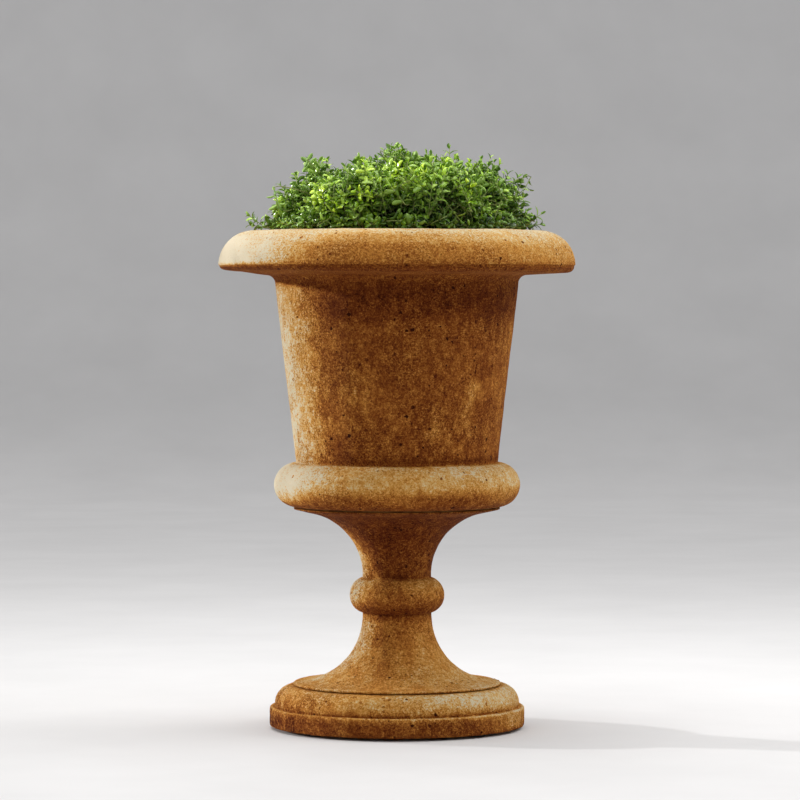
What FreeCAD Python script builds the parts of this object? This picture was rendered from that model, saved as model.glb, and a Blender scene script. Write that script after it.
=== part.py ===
import FreeCAD, Part
import math
import os
import types
import Sketcher

# A cast-stone urn planter on a turned pedestal, planted with young shrubs.
# It stands on the origin with its axis on Z, and its lengths are millimetres.
# The stone is three castings: a plinth, a pedestal and a bowl. Each one sits on a
# thin setting ring and is kept in place by steel dowels. A drain runs down the axis.

sizes = {
    # pads that lift the plinth off the ground
    "pad_count": 4,
    "pad_radius": 14,
    "pad_thickness": 4,
    "pad_inset": 27.3,
    "pad_start_angle": 45,
    # plinth: a round slab, a narrow shelf, an upright and an ovolo
    "plinth_slab_height": 28.5,
    "plinth_edge_rounding": 2.5,
    "plinth_shelf_width": 7.8,
    "plinth_upright_height": 5,
    "plinth_ovolo_radius": 26,
    "plinth_ledge_width": 1.5,
    # pedestal: a skirt, a hollow cove, a knop and a second cove under the bowl
    "skirt_edge_height": 2.5,
    "skirt_bevel_width": 3,
    "skirt_bevel_height": 1,
    "lower_cove_radius": 100,
    "lower_neck_height": 3,
    "neck_radius": 51,
    "knop_bulge": 19.4,
    "knop_height": 52.5,
    "upper_neck_height": 2,
    "upper_cove_radius": 96,
    "upper_cove_angle": 78,
    "flange_slope_width": 25.96,
    "flange_edge_height": 2.1,
    # bowl: a torus, a tapered body, a soffit and a rolled rim
    "flange_ledge_width": 3,
    "torus_radius": 32.5,
    "body_flare": 30.5,
    "body_height": 265.5,
    "body_wall": 27,
    "soffit_fillet_radius": 12.5,
    "soffit_rise": 3.2,
    "lip_return_radius": 10.5,
    "lip_step_width": 1.6,
    "lip_step_height": 0.8,
    "rim_overhang": 84.5,
    "rim_roll_radius": 51,
    "mouth_rounding": 12,
    "bowl_floor_thickness": 42,
    "bowl_corner_radius": 30,
    # rings that bed one casting on the next
    "plinth_ring_thickness": 1.5,
    "bowl_ring_thickness": 2,
    "plinth_ring_inset": 7,
    "bowl_ring_inset": 3,
    "ring_hole_margin": 16,
    # steel dowels in blind holes
    "dowel_count": 3,
    "dowel_radius": 5,
    "dowel_ring_offset": 19,
    "dowel_hole_depth": 22,
    "dowel_end_gap": 0.5,
    "dowel_lift_clearance": 0.5,
    "dowel_lift_depth": 16,
    # drain sleeve on the axis, hung by a collar in the top of the pedestal
    "sleeve_bore_radius": 12.5,
    "sleeve_wall": 3.5,
    "sleeve_clearance": 0.4,
    "collar_width": 8,
    "collar_thickness": 3,
    "spigot_height": 20,
    "spigot_clearance": 0.6,
    # perforated screen over the bowl's drain hole
    "screen_lap": 17.4,
    "screen_thickness": 3,
    "screen_hole_radius": 2,
    "screen_inner_hole_count": 6,
    "screen_outer_hole_count": 12,
    # gravel, cloth and soil
    "bed_clearance": 0.4,
    "gravel_cover": 8,
    "cloth_thickness": 1.5,
    "soil_clearance": 0.6,
    "soil_drop": 33,
    "lift_gap": 0.3,
    # shrubs: one in the middle and a ring round it
    "ring_shrub_count": 6,
    "root_wall_gap": 20,
    "root_gap": 24,
    "root_ball_taper": 8,
    "root_ball_depth": 95,
    "root_clearance": 0.3,
    "trunk_foot_radius": 4,
    "trunk_radius": 3,
    "trunk_height": 34,
    "branch_count": 4,
    "branch_radius": 2.4,
    "branch_tip_radius": 1,
    "branch_length": 62,
    "branch_tilt_angle": 30,
    "leader_length": 74,
    # crowns of leaves
    "crown_height": 20,
    "crown_lean": 5,
    "crown_set_back": 18,
    "crown_half_height": 82,
    "stem_cover": 3,
    "heart_crown_margin": 36,
    "heart_crown_half_height": 104,
    "crown_gap": 1,
    "crown_gap_angle": 0.5,
    "crown_rim_gap": 1,
    # how far a cutting shape runs past what it cuts
    "overrun": 5,
}

doc = FreeCAD.newDocument("Planter")
sheet = doc.addObject("Spreadsheet::Sheet", "Sizes")
pieces = []


class Size:
    """A number together with the sheet expression that gives it."""

    def __init__(self, value, text):
        self.value = value
        self.text = text

    def __add__(self, other):
        return Size(self.value + other.value, "(%s + %s)" % (self.text, other.text))

    def __sub__(self, other):
        return Size(self.value - other.value, "(%s - %s)" % (self.text, other.text))

    def __mul__(self, other):
        return Size(self.value * other.value, "(%s * %s)" % (self.text, other.text))

    def __truediv__(self, other):
        return Size(self.value / other.value, "(%s / %s)" % (self.text, other.text))


def plain(number):
    return Size(number, str(number))


def sine(angle):
    return Size(math.sin(math.radians(angle.value)), "sin(%s)" % angle.text)


def cosine(angle):
    return Size(math.cos(math.radians(angle.value)), "cos(%s)" % angle.text)


def fill_sheet():
    """Puts each size in a cell with its name, and gives the sizes back by name."""
    for row, (name, number) in enumerate(sizes.items(), start=1):
        sheet.set("A%d" % row, name)
        sheet.set("B%d" % row, str(number))
        sheet.setAlias("B%d" % row, name)
    doc.recompute()
    return types.SimpleNamespace(
        **{name: Size(number, "Sizes." + name) for name, number in sizes.items()})


s = fill_sheet()
zero = plain(0)
two = plain(2)
full_turn = plain(360)
up = FreeCAD.Vector(0, 0, 1)

# Radii from the neck outwards, so that each casting fits the one it stands on.
cove_foot_radius = s.neck_radius + s.lower_cove_radius
skirt_radius = cove_foot_radius + s.skirt_bevel_width
ovolo_top_radius = skirt_radius + s.plinth_ledge_width
upright_radius = ovolo_top_radius + s.plinth_ovolo_radius
plinth_radius = upright_radius + s.plinth_shelf_width
knop_radius = s.neck_radius + s.knop_bulge
flange_slope_radius = s.neck_radius + s.upper_cove_radius * (plain(1) - cosine(s.upper_cove_angle))
flange_radius = flange_slope_radius + s.flange_slope_width
body_foot_radius = flange_radius - s.flange_ledge_width
body_top_radius = body_foot_radius + s.body_flare
rim_radius = body_top_radius + s.rim_overhang
crest_radius = rim_radius - s.rim_roll_radius
sleeve_radius = s.sleeve_bore_radius + s.sleeve_wall
sleeve_hole_radius = sleeve_radius + s.sleeve_clearance
collar_radius = sleeve_radius + s.collar_width
drain_hole_radius = sleeve_radius + s.spigot_clearance
screen_radius = drain_hole_radius + s.screen_lap
ring_inner_radius = collar_radius + s.ring_hole_margin
dowel_ring_radius = s.neck_radius + s.dowel_ring_offset

# Heights of the stack from the ground up.
plinth_base = s.pad_thickness
plinth_height = s.plinth_slab_height + s.plinth_upright_height + s.plinth_ovolo_radius
plinth_ring_base = plinth_base + plinth_height
pedestal_base = plinth_ring_base + s.plinth_ring_thickness
lower_cove_base = s.skirt_edge_height + s.skirt_bevel_height
knop_base = lower_cove_base + s.lower_cove_radius + s.lower_neck_height
upper_cove_base = knop_base + s.knop_height + s.upper_neck_height
flange_slope_base = upper_cove_base + s.upper_cove_radius * sine(s.upper_cove_angle)
flange_slope_rise = s.flange_slope_width * cosine(s.upper_cove_angle) / sine(s.upper_cove_angle)
flange_edge_base = flange_slope_base + flange_slope_rise
pedestal_height = flange_edge_base + s.flange_edge_height
bowl_ring_base = pedestal_base + pedestal_height
bowl_base = bowl_ring_base + s.bowl_ring_thickness
torus_height = s.torus_radius * two
body_slope = s.body_flare / s.body_height
soffit_height = torus_height + s.body_height + s.soffit_fillet_radius
lip_height = soffit_height + s.soffit_rise + s.lip_return_radius + s.lip_step_height
bowl_height = lip_height + s.rim_roll_radius
rim_top = bowl_base + bowl_height
soil_top = rim_top - s.soil_drop
gravel_base = bowl_base + s.bowl_floor_thickness
gravel_depth = s.bowl_corner_radius + s.gravel_cover
cloth_base = gravel_base + gravel_depth
soil_base = cloth_base + s.cloth_thickness + s.lift_gap


def inner_radius(height):
    """Radius of the bowl's inner wall at a height over the bowl's underside."""
    return body_foot_radius + (height - torus_height) * body_slope - s.body_wall


# Root balls spread evenly between the middle of the soil and its edge.
soil_top_radius = inner_radius(soil_top - bowl_base) - s.soil_clearance
root_ball_radius = (soil_top_radius - s.root_wall_gap - s.root_gap) / plain(3)
root_ball_slope = s.root_ball_taper / s.root_ball_depth
shrub_ring_radius = soil_top_radius - s.root_wall_gap - root_ball_radius

# Crowns: the ring stops short of the rim's crest, and the middle one covers its own stems.
crown_base = rim_top + s.crown_rim_gap
crown_ring_radius = shrub_ring_radius + s.crown_lean
crown_reach = crest_radius - crown_ring_radius - s.crown_set_back
heart_crown_radius = shrub_ring_radius - s.branch_length * sine(s.branch_tilt_angle) - s.stem_cover
heart_crown_reach = heart_crown_radius + s.heart_crown_margin


class Outline:
    """A closed outline beside the axis, with corners at (radius, height) and arcs by their centres."""

    def __init__(self, radius, height):
        self.corners = [(radius, height)]
        self.edges = []

    def line(self, radius, height):
        self.corners.append((radius, height))
        self.edges.append(None)

    def arc(self, radius, height, centre, turn):
        """An arc to (radius, height), turning left about its centre for +1 and right for -1."""
        self.corners.append((radius, height))
        self.edges.append((centre, turn))


def point(corner):
    return FreeCAD.Vector(corner[0].value, corner[1].value, 0)


def arc_curve(start, end, centre, turn):
    """The arc from start to end, drawn the way a sketch holds it, always turning left."""
    first, last = (start, end) if turn > 0 else (end, start)
    middle = point(centre)
    angles = [math.atan2(spot.y - middle.y, spot.x - middle.x) for spot in (point(first), point(last))]
    circle = Part.Circle(middle, up, (point(first) - middle).Length)
    return Part.ArcOfCircle(circle, angles[0], angles[1])


def pin_point(sketch, geometry, end, corner):
    """Holds one end of an edge at its place with two dimensions that follow the sheet."""
    for kind, size, axis in (("DistanceX", corner[0], -2), ("DistanceY", corner[1], -1)):
        if size.value:
            index = sketch.addConstraint(Sketcher.Constraint(kind, -1, 1, geometry, end, size.value))
            sketch.setExpression("Constraints[%d]" % index, size.text)
        else:
            sketch.addConstraint(Sketcher.Constraint("PointOnObject", geometry, end, axis))


def pin_centre(sketch, geometry, start, end, centre):
    """Fixes an arc's centre along its chord's steadier direction."""
    chord = point(end) - point(start)
    kind, size = ("DistanceX", centre[0]) if abs(chord.y) >= abs(chord.x) else ("DistanceY", centre[1])
    index = sketch.addConstraint(Sketcher.Constraint(kind, -1, 1, geometry, 3, size.value))
    sketch.setExpression("Constraints[%d]" % index, size.text)


def draw(body, name, outline):
    """Draws an outline on the body's XZ plane, with every corner and arc bound to the sheet."""
    sketch = body.newObject("Sketcher::SketchObject", name)
    plane = [feature for feature in body.Origin.OriginFeatures if feature.Role == "XZ_Plane"][0]
    sketch.AttachmentSupport = (plane, [""])
    sketch.MapMode = "FlatFace"
    corners = outline.corners
    outline_edges = outline.edges + [None]
    ends = []
    for index, edge in enumerate(outline_edges):
        start, end = corners[index], corners[(index + 1) % len(corners)]
        if edge is None:
            geometry = sketch.addGeometry(Part.LineSegment(point(start), point(end)), False)
            ends.append((geometry, 1, 2))
        else:
            geometry = sketch.addGeometry(arc_curve(start, end, *edge), False)
            ends.append((geometry, 1, 2) if edge[1] > 0 else (geometry, 2, 1))
    for index, (geometry, first, last) in enumerate(ends):
        following = ends[(index + 1) % len(ends)]
        sketch.addConstraint(Sketcher.Constraint("Coincident", geometry, last, following[0], following[1]))
    for index, (geometry, first, last) in enumerate(ends):
        pin_point(sketch, geometry, first, corners[index])
        if outline_edges[index]:
            pin_centre(sketch, geometry, corners[index], corners[(index + 1) % len(corners)],
                       outline_edges[index][0])
    return sketch


def place(thing, x=zero, y=zero, z=zero, rotation=None):
    """Sets a thing's place and turn, and binds each coordinate of the place to the sheet."""
    base = FreeCAD.Vector(x.value, y.value, z.value)
    thing.Placement = FreeCAD.Placement(base, rotation or FreeCAD.Rotation())
    for axis, size in (("x", x), ("y", y), ("z", z)):
        if size is not zero:
            thing.setExpression("Placement.Base." + axis, size.text)
    return thing


def keep(thing, label):
    """Names a finished piece and puts it on the list of pieces to write."""
    thing.Label = label
    pieces.append(thing)
    return thing


def turned(name, outline, angle=full_turn):
    """A body made by turning an outline about Z, centred on the plane of the outline."""
    body = doc.addObject("PartDesign::Body", name)
    sketch = draw(body, name + "_outline", outline)
    turn = body.newObject("PartDesign::Revolution", name + "_turn")
    turn.Profile = sketch
    turn.ReferenceAxis = (sketch, ["V_Axis"])
    turn.Midplane = angle is not full_turn
    turn.Angle = angle.value
    turn.setExpression("Angle", angle.text)
    body.Tip = turn
    doc.recompute()
    return body


def drill_ring(body, name, radius, depth, height, ring_radius, count):
    """Round holes in a ring about Z, each from the given height up by its depth."""
    hole = body.newObject("PartDesign::SubtractiveCylinder", name)
    plane = [feature for feature in body.Origin.OriginFeatures if feature.Role == "XY_Plane"][0]
    hole.AttachmentSupport = (plane, [""])
    hole.MapMode = "FlatFace"
    hole.AttachmentOffset = FreeCAD.Placement(
        FreeCAD.Vector(ring_radius.value, 0, height.value), FreeCAD.Rotation())
    hole.setExpression("AttachmentOffset.Base.x", ring_radius.text)
    hole.setExpression("AttachmentOffset.Base.z", height.text)
    hole.Radius, hole.Height = radius.value, depth.value
    hole.setExpression("Radius", radius.text)
    hole.setExpression("Height", depth.text)
    doc.recompute()
    pattern = body.newObject("PartDesign::PolarPattern", name + "_pattern")
    axis = [feature for feature in body.Origin.OriginFeatures if feature.Role == "Z_Axis"][0]
    pattern.Originals = [hole]
    pattern.Axis = (axis, [""])
    pattern.Angle = full_turn.value
    pattern.Occurrences = int(count.value)
    pattern.setExpression("Occurrences", count.text)
    body.Tip = pattern
    doc.recompute()


def solid(kind, name, **values):
    """A primitive solid with each of its properties bound to the sheet."""
    thing = doc.addObject("Part::" + kind, name)
    for key, size in values.items():
        setattr(thing, key, size.value)
        thing.setExpression(key, size.text)
    return thing


def ring_of_rods(label, radius, height, base, ring_radius, count, start_angle=zero):
    """Upright rods in a ring about Z, kept as one piece with a solid for each rod."""
    rods = []
    for index in range(int(count.value)):
        angle = start_angle + full_turn * plain(index) / count
        rod = solid("Cylinder", "%s_%d" % (label, index + 1), Radius=radius, Height=height)
        rods.append(place(rod, ring_radius * cosine(angle), ring_radius * sine(angle), base))
    group = doc.addObject("Part::Compound", label)
    group.Links = rods
    return keep(group, label)


def make_pads():
    return ring_of_rods("foot_pads", s.pad_radius, s.pad_thickness, zero,
                        plinth_radius - s.pad_inset, s.pad_count, s.pad_start_angle)


def make_plinth():
    """Slab with rounded edges, shelf, upright and ovolo, bored for the drain and drilled for dowels."""
    rounding = s.plinth_edge_rounding
    slab_inner = plinth_radius - rounding
    slab_upper = s.plinth_slab_height - rounding
    upright_top = s.plinth_slab_height + s.plinth_upright_height
    outline = Outline(sleeve_hole_radius, zero)
    outline.line(slab_inner, zero)
    outline.arc(plinth_radius, rounding, (slab_inner, rounding), 1)
    outline.line(plinth_radius, slab_upper)
    outline.arc(slab_inner, s.plinth_slab_height, (slab_inner, slab_upper), 1)
    outline.line(upright_radius, s.plinth_slab_height)
    outline.line(upright_radius, upright_top)
    outline.arc(ovolo_top_radius, plinth_height, (ovolo_top_radius, upright_top), 1)
    outline.line(sleeve_hole_radius, plinth_height)
    body = turned("plinth", outline)
    drill_ring(body, "plinth_dowel_hole", s.dowel_radius, s.dowel_hole_depth + s.overrun,
               plinth_height - s.dowel_hole_depth, dowel_ring_radius, s.dowel_count)
    return keep(place(body, z=plinth_base), "plinth")


def make_setting_ring(label, outer_radius, thickness, base):
    outline = Outline(ring_inner_radius, zero)
    outline.line(outer_radius, zero)
    outline.line(outer_radius, thickness)
    outline.line(ring_inner_radius, thickness)
    body = turned(label, outline)
    drill_ring(body, label + "_dowel_hole", s.dowel_radius, thickness + s.overrun * two,
               zero - s.overrun, dowel_ring_radius, s.dowel_count)
    return keep(place(body, z=base), label)


def make_plinth_dowels():
    """Dowels that reach from the plinth through the ring up into the pedestal."""
    depth = s.dowel_hole_depth - s.dowel_end_gap
    return ring_of_rods("plinth_dowels", s.dowel_radius, depth * two + s.plinth_ring_thickness,
                        plinth_ring_base - depth, dowel_ring_radius, s.dowel_count)


def make_pedestal():
    """Skirt, cove, knop, second cove and flange, bored for the drain with a seat for its collar."""
    cove_top = lower_cove_base + s.lower_cove_radius
    knop_top = knop_base + s.knop_height
    half_knop = s.knop_height / two
    knop_curve = (s.knop_bulge * s.knop_bulge + half_knop * half_knop) / (s.knop_bulge * two)
    collar_seat_radius = collar_radius + s.sleeve_clearance
    collar_seat = pedestal_height - s.collar_thickness
    outline = Outline(sleeve_hole_radius, zero)
    outline.line(skirt_radius, zero)
    outline.line(skirt_radius, s.skirt_edge_height)
    outline.line(cove_foot_radius, lower_cove_base)
    outline.arc(s.neck_radius, cove_top, (cove_foot_radius, cove_top), -1)
    outline.line(s.neck_radius, knop_base)
    outline.arc(s.neck_radius, knop_top, (knop_radius - knop_curve, knop_base + half_knop), 1)
    outline.line(s.neck_radius, upper_cove_base)
    outline.arc(flange_slope_radius, flange_slope_base,
                (s.neck_radius + s.upper_cove_radius, upper_cove_base), -1)
    outline.line(flange_radius, flange_edge_base)
    outline.line(flange_radius, pedestal_height)
    outline.line(collar_seat_radius, pedestal_height)
    outline.line(collar_seat_radius, collar_seat)
    outline.line(sleeve_hole_radius, collar_seat)
    body = turned("pedestal", outline)
    drill_ring(body, "pedestal_foot_hole", s.dowel_radius, s.dowel_hole_depth + s.overrun,
               zero - s.overrun, dowel_ring_radius, s.dowel_count)
    drill_ring(body, "pedestal_head_hole", s.dowel_radius, s.dowel_hole_depth + s.overrun,
               pedestal_height - s.dowel_hole_depth, dowel_ring_radius, s.dowel_count)
    return keep(place(body, z=pedestal_base), "pedestal")


def make_sleeve():
    """Pipe down the axis, with a collar that hangs in the pedestal and a spigot up into the bowl."""
    collar_top = bowl_ring_base - plinth_base
    collar_base = collar_top - s.collar_thickness
    spigot_top = collar_top + s.spigot_height
    outline = Outline(s.sleeve_bore_radius, zero)
    outline.line(sleeve_radius, zero)
    outline.line(sleeve_radius, collar_base)
    outline.line(collar_radius, collar_base)
    outline.line(collar_radius, collar_top)
    outline.line(sleeve_radius, collar_top)
    outline.line(sleeve_radius, spigot_top)
    outline.line(s.sleeve_bore_radius, spigot_top)
    return keep(place(turned("drain_sleeve", outline), z=plinth_base), "drain_sleeve")


def make_bowl_dowels():
    """Dowels set in the pedestal, standing up into wider blind holes under the bowl."""
    depth = s.dowel_hole_depth - s.dowel_end_gap
    height = depth + s.bowl_ring_thickness + s.dowel_lift_depth - s.dowel_end_gap
    return ring_of_rods("bowl_dowels", s.dowel_radius, height, bowl_ring_base - depth,
                        dowel_ring_radius, s.dowel_count)


def make_bowl():
    """Torus, tapered body, soffit and rolled rim outside, a tapered well with a drain hole inside."""
    body_top = torus_height + s.body_height
    soffit_radius = body_top_radius + s.soffit_fillet_radius
    lip_step_radius = rim_radius - s.lip_step_width
    return_radius = lip_step_radius - s.lip_return_radius
    return_base = soffit_height + s.soffit_rise
    return_top = return_base + s.lip_return_radius
    mouth_base = bowl_height - s.mouth_rounding
    mouth_radius = inner_radius(mouth_base)
    mouth_edge_radius = mouth_radius + s.mouth_rounding
    corner_top = s.bowl_floor_thickness + s.bowl_corner_radius
    corner_radius = inner_radius(corner_top)
    floor_radius = corner_radius - s.bowl_corner_radius
    outline = Outline(drain_hole_radius, zero)
    outline.line(body_foot_radius, zero)
    outline.arc(body_foot_radius, torus_height, (body_foot_radius, s.torus_radius), 1)
    outline.line(body_top_radius, body_top)
    outline.arc(soffit_radius, soffit_height, (soffit_radius, body_top), -1)
    outline.line(return_radius, return_base)
    outline.arc(lip_step_radius, return_top, (return_radius, return_top), 1)
    outline.line(rim_radius, lip_height)
    outline.arc(crest_radius, bowl_height, (crest_radius, lip_height), 1)
    outline.line(mouth_edge_radius, bowl_height)
    outline.arc(mouth_radius, mouth_base, (mouth_edge_radius, mouth_base), 1)
    outline.line(corner_radius, corner_top)
    outline.arc(floor_radius, s.bowl_floor_thickness, (floor_radius, corner_top), -1)
    outline.line(drain_hole_radius, s.bowl_floor_thickness)
    body = turned("bowl", outline)
    drill_ring(body, "bowl_dowel_hole", s.dowel_radius + s.dowel_lift_clearance,
               s.dowel_lift_depth + s.overrun, zero - s.overrun, dowel_ring_radius, s.dowel_count)
    return keep(place(body, z=bowl_base), "bowl")


def make_screen():
    """Flat disc over the drain hole, with two rings of small holes inside the sleeve's bore."""
    outline = Outline(zero, zero)
    outline.line(screen_radius, zero)
    outline.line(screen_radius, s.screen_thickness)
    outline.line(zero, s.screen_thickness)
    body = turned("drain_screen", outline)
    for name, ring_radius, count in (
            ("screen_inner_hole", s.sleeve_bore_radius / two, s.screen_inner_hole_count),
            ("screen_outer_hole", s.sleeve_bore_radius, s.screen_outer_hole_count)):
        drill_ring(body, name, s.screen_hole_radius, s.screen_thickness + s.overrun * two,
                   zero - s.overrun, ring_radius, count)
    return keep(place(body, z=gravel_base), "drain_screen")


def make_gravel():
    """Bed on the bowl's floor, shaped by the well's corner, with room for the screen."""
    floor = s.bowl_floor_thickness
    corner_radius = inner_radius(floor + s.bowl_corner_radius) - s.bed_clearance
    corner = s.bowl_corner_radius
    top_radius = inner_radius(floor + gravel_depth) - s.bed_clearance
    screen_room_radius = screen_radius + s.bed_clearance
    outline = Outline(screen_room_radius, zero)
    outline.line(corner_radius - corner, zero)
    outline.arc(corner_radius, corner, (corner_radius - corner, corner), 1)
    outline.line(top_radius, gravel_depth)
    outline.line(zero, gravel_depth)
    outline.line(zero, s.screen_thickness)
    outline.line(screen_room_radius, s.screen_thickness)
    return keep(place(turned("gravel_bed", outline), z=gravel_base), "gravel_bed")


def make_cloth():
    radius = inner_radius(cloth_base - bowl_base) - s.bed_clearance
    cloth = solid("Cylinder", "filter_cloth", Radius=radius, Height=s.cloth_thickness)
    return keep(place(cloth, z=cloth_base), "filter_cloth")


def shrub_spots():
    """The middle shrub and the ring, each as a name, an angle and two distances from the axis."""
    spots = [("shrub_middle", zero, zero, zero)]
    for index in range(int(s.ring_shrub_count.value)):
        angle = full_turn * plain(index) / s.ring_shrub_count
        spots.append(("shrub_%d" % (index + 1), angle, shrub_ring_radius, crown_ring_radius))
    return spots


def root_ball(name, angle, distance, clearance, overrun):
    """A tapered root ball, or the pocket for it when a clearance and an overrun widen and lengthen it."""
    height = s.root_ball_depth + clearance + overrun
    foot_radius = root_ball_radius - s.root_ball_taper + clearance
    ball = solid("Cone", name, Radius1=foot_radius, Radius2=foot_radius + root_ball_slope * height,
                 Height=height)
    base = soil_top - s.root_ball_depth - clearance
    return place(ball, distance * cosine(angle), distance * sine(angle), base)


def make_soil(spots):
    """Soil from the cloth up to below the rim, with a pocket for each root ball."""
    base_radius = inner_radius(soil_base - bowl_base) - s.soil_clearance
    mass = place(solid("Cone", "soil_mass", Radius1=base_radius, Radius2=soil_top_radius,
                       Height=soil_top - soil_base), z=soil_base)
    pockets = doc.addObject("Part::MultiFuse", "soil_pockets")
    pockets.Shapes = [root_ball(name + "_pocket", angle, distance, s.root_clearance, s.overrun)
                      for name, angle, distance, crown in spots]
    soil = doc.addObject("Part::Cut", "potting_soil")
    soil.Base = mass
    soil.Tool = pockets
    return keep(soil, "potting_soil")


def make_stems(name, angle, distance):
    """A short trunk, a leader and a ring of branches that lean outwards."""
    x, y = distance * cosine(angle), distance * sine(angle)
    fork = soil_top + s.trunk_height - s.branch_radius
    limbs = [place(solid("Cone", name + "_trunk", Radius1=s.trunk_foot_radius, Radius2=s.trunk_radius,
                         Height=s.trunk_height), x, y, soil_top)]
    for index in range(int(s.branch_count.value) + 1):
        length = s.branch_length if index else s.leader_length
        tilt = s.branch_tilt_angle.value if index else 0
        turn = angle.value + full_turn.value * index / s.branch_count.value
        aim = FreeCAD.Rotation(up, turn) * FreeCAD.Rotation(FreeCAD.Vector(0, 1, 0), tilt)
        limb = solid("Cone", "%s_limb_%d" % (name, index), Radius1=s.branch_radius,
                     Radius2=s.branch_tip_radius, Height=length)
        limbs.append(place(limb, x, y, fork, aim))
    stems = doc.addObject("Part::MultiFuse", name + "_stems")
    stems.Shapes = limbs
    return keep(stems, name + "_stems")


def crown_cell(name, inner, outer, angle):
    """The room a crown may fill over the rim: a sector of a ring, or a whole disc in the middle."""
    top = s.heart_crown_half_height * two
    outline = Outline(inner, zero)
    outline.line(outer, zero)
    outline.line(outer, top)
    outline.line(inner, top)
    return turned(name + "_cell", outline, angle)


def make_foliage(name, angle, crown_distance, stems):
    """A rounded crown, kept to its own cell and hollow where its stems run."""
    turn = FreeCAD.Rotation(up, angle.value)
    if crown_distance is zero:
        cell = crown_cell(name, zero, heart_crown_radius, full_turn)
        mound = solid("Ellipsoid", name + "_mound", Radius1=s.heart_crown_half_height,
                      Radius2=heart_crown_reach, Radius3=heart_crown_reach)
    else:
        cell = crown_cell(name, heart_crown_radius + s.crown_gap, rim_radius,
                          full_turn / s.ring_shrub_count - s.crown_gap_angle)
        mound = solid("Ellipsoid", name + "_mound", Radius1=s.crown_half_height,
                      Radius2=crown_reach, Radius3=crown_reach)
    place(cell, z=crown_base, rotation=turn)
    place(mound, crown_distance * cosine(angle), crown_distance * sine(angle),
          rim_top + s.crown_height, turn)
    crown = doc.addObject("Part::Common", name + "_crown")
    crown.Base, crown.Tool = mound, cell
    foliage = doc.addObject("Part::Cut", name + "_foliage")
    foliage.Base, foliage.Tool = crown, stems
    return keep(foliage, name + "_foliage")


def make_shrubs(spots):
    for name, angle, distance, crown_distance in spots:
        keep(root_ball(name + "_root_ball", angle, distance, zero, zero), name + "_root_ball")
        stems = make_stems(name, angle, distance)
        make_foliage(name, angle, crown_distance, stems)


def check_model():
    """Stops before anything is written if a feature or a finished piece has failed."""
    for thing in doc.Objects:
        if "Invalid" in thing.State or "Error" in thing.State:
            raise RuntimeError("%s failed: %s" % (thing.Name, thing.State))
    for piece in pieces:
        if piece.Shape.isNull() or not piece.Shape.isValid() or not piece.Shape.Solids:
            raise RuntimeError("%s has no valid solid" % piece.Label)


def write_pieces():
    os.makedirs("parts", exist_ok=True)
    for piece in pieces:
        piece.Shape.exportStep("parts/%s.step" % piece.Label)
        print("%-26s %d solids" % (piece.Label, len(piece.Shape.Solids)))


make_pads()
make_plinth()
make_setting_ring("plinth_setting_ring", skirt_radius - s.plinth_ring_inset,
                  s.plinth_ring_thickness, plinth_ring_base)
make_plinth_dowels()
make_pedestal()
make_sleeve()
make_setting_ring("bowl_setting_ring", body_foot_radius - s.bowl_ring_inset,
                  s.bowl_ring_thickness, bowl_ring_base)
make_bowl_dowels()
make_bowl()
make_screen()
make_gravel()
make_cloth()
shrubs = shrub_spots()
make_soil(shrubs)
make_shrubs(shrubs)
doc.recompute()
check_model()
write_pieces()
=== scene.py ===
import bpy
import math
import numpy as np
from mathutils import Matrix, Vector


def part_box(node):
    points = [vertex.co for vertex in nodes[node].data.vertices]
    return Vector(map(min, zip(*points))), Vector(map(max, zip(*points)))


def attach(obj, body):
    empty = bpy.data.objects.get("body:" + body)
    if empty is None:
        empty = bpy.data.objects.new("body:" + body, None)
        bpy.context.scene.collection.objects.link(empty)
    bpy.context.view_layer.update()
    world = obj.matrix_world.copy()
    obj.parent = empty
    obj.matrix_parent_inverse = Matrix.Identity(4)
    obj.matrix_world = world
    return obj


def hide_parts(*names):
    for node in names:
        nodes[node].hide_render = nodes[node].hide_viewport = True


# A cast-stone urn on its pedestal, planted with small-leaved shrubs. All lengths are metres.
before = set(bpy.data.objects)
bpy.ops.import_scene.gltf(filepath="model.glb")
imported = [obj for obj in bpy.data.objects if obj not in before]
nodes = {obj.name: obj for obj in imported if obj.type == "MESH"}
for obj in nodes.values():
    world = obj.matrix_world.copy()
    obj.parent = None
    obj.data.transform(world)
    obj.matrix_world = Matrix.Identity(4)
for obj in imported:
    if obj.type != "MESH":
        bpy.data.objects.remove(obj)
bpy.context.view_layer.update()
print("frame loaded:", len(nodes), "nodes")


# Helpers for shapes

noiseWeave = np.array([73856093, 19349663, 83492791])  # large odd steps that keep lattice cells apart
noiseShift = 4096  # cells, so that no cell number is negative
noiseSeedStep = 2654435761
noiseMask = 0x7FFFFFFF
noiseMixing = ((15, noiseSeedStep), (17, noiseWeave[1]))  # shift to the right, then factor
noiseLastShift = 14


# Even random numbers from 0 to 1, one for each whole-number cell, by mixing the cell's digits.
def scatter(cells, seed):
    mixed = ((cells + noiseShift) * noiseWeave).sum(axis=-1) + seed * noiseSeedStep
    for shift, factor in noiseMixing:
        mixed = ((mixed ^ (mixed >> shift)) & noiseMask) * factor
    return ((mixed ^ (mixed >> noiseLastShift)) & noiseMask) / noiseMask


# Value noise: random numbers on a cubic lattice, blended between its corners by a smooth step. From -1 to 1.
def latticeNoise(points, cell, seed):
    spots = np.asarray(points) / cell
    corner = np.floor(spots).astype(np.int64)
    share = spots - corner
    share = share * share * (3 - 2 * share)
    total = 0
    for step in np.ndindex(2, 2, 2):
        weight = np.where(np.array(step) == 1, share, 1 - share).prod(axis=-1)
        total = total + weight * scatter(corner + np.array(step), seed)
    return 2 * total - 1


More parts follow.
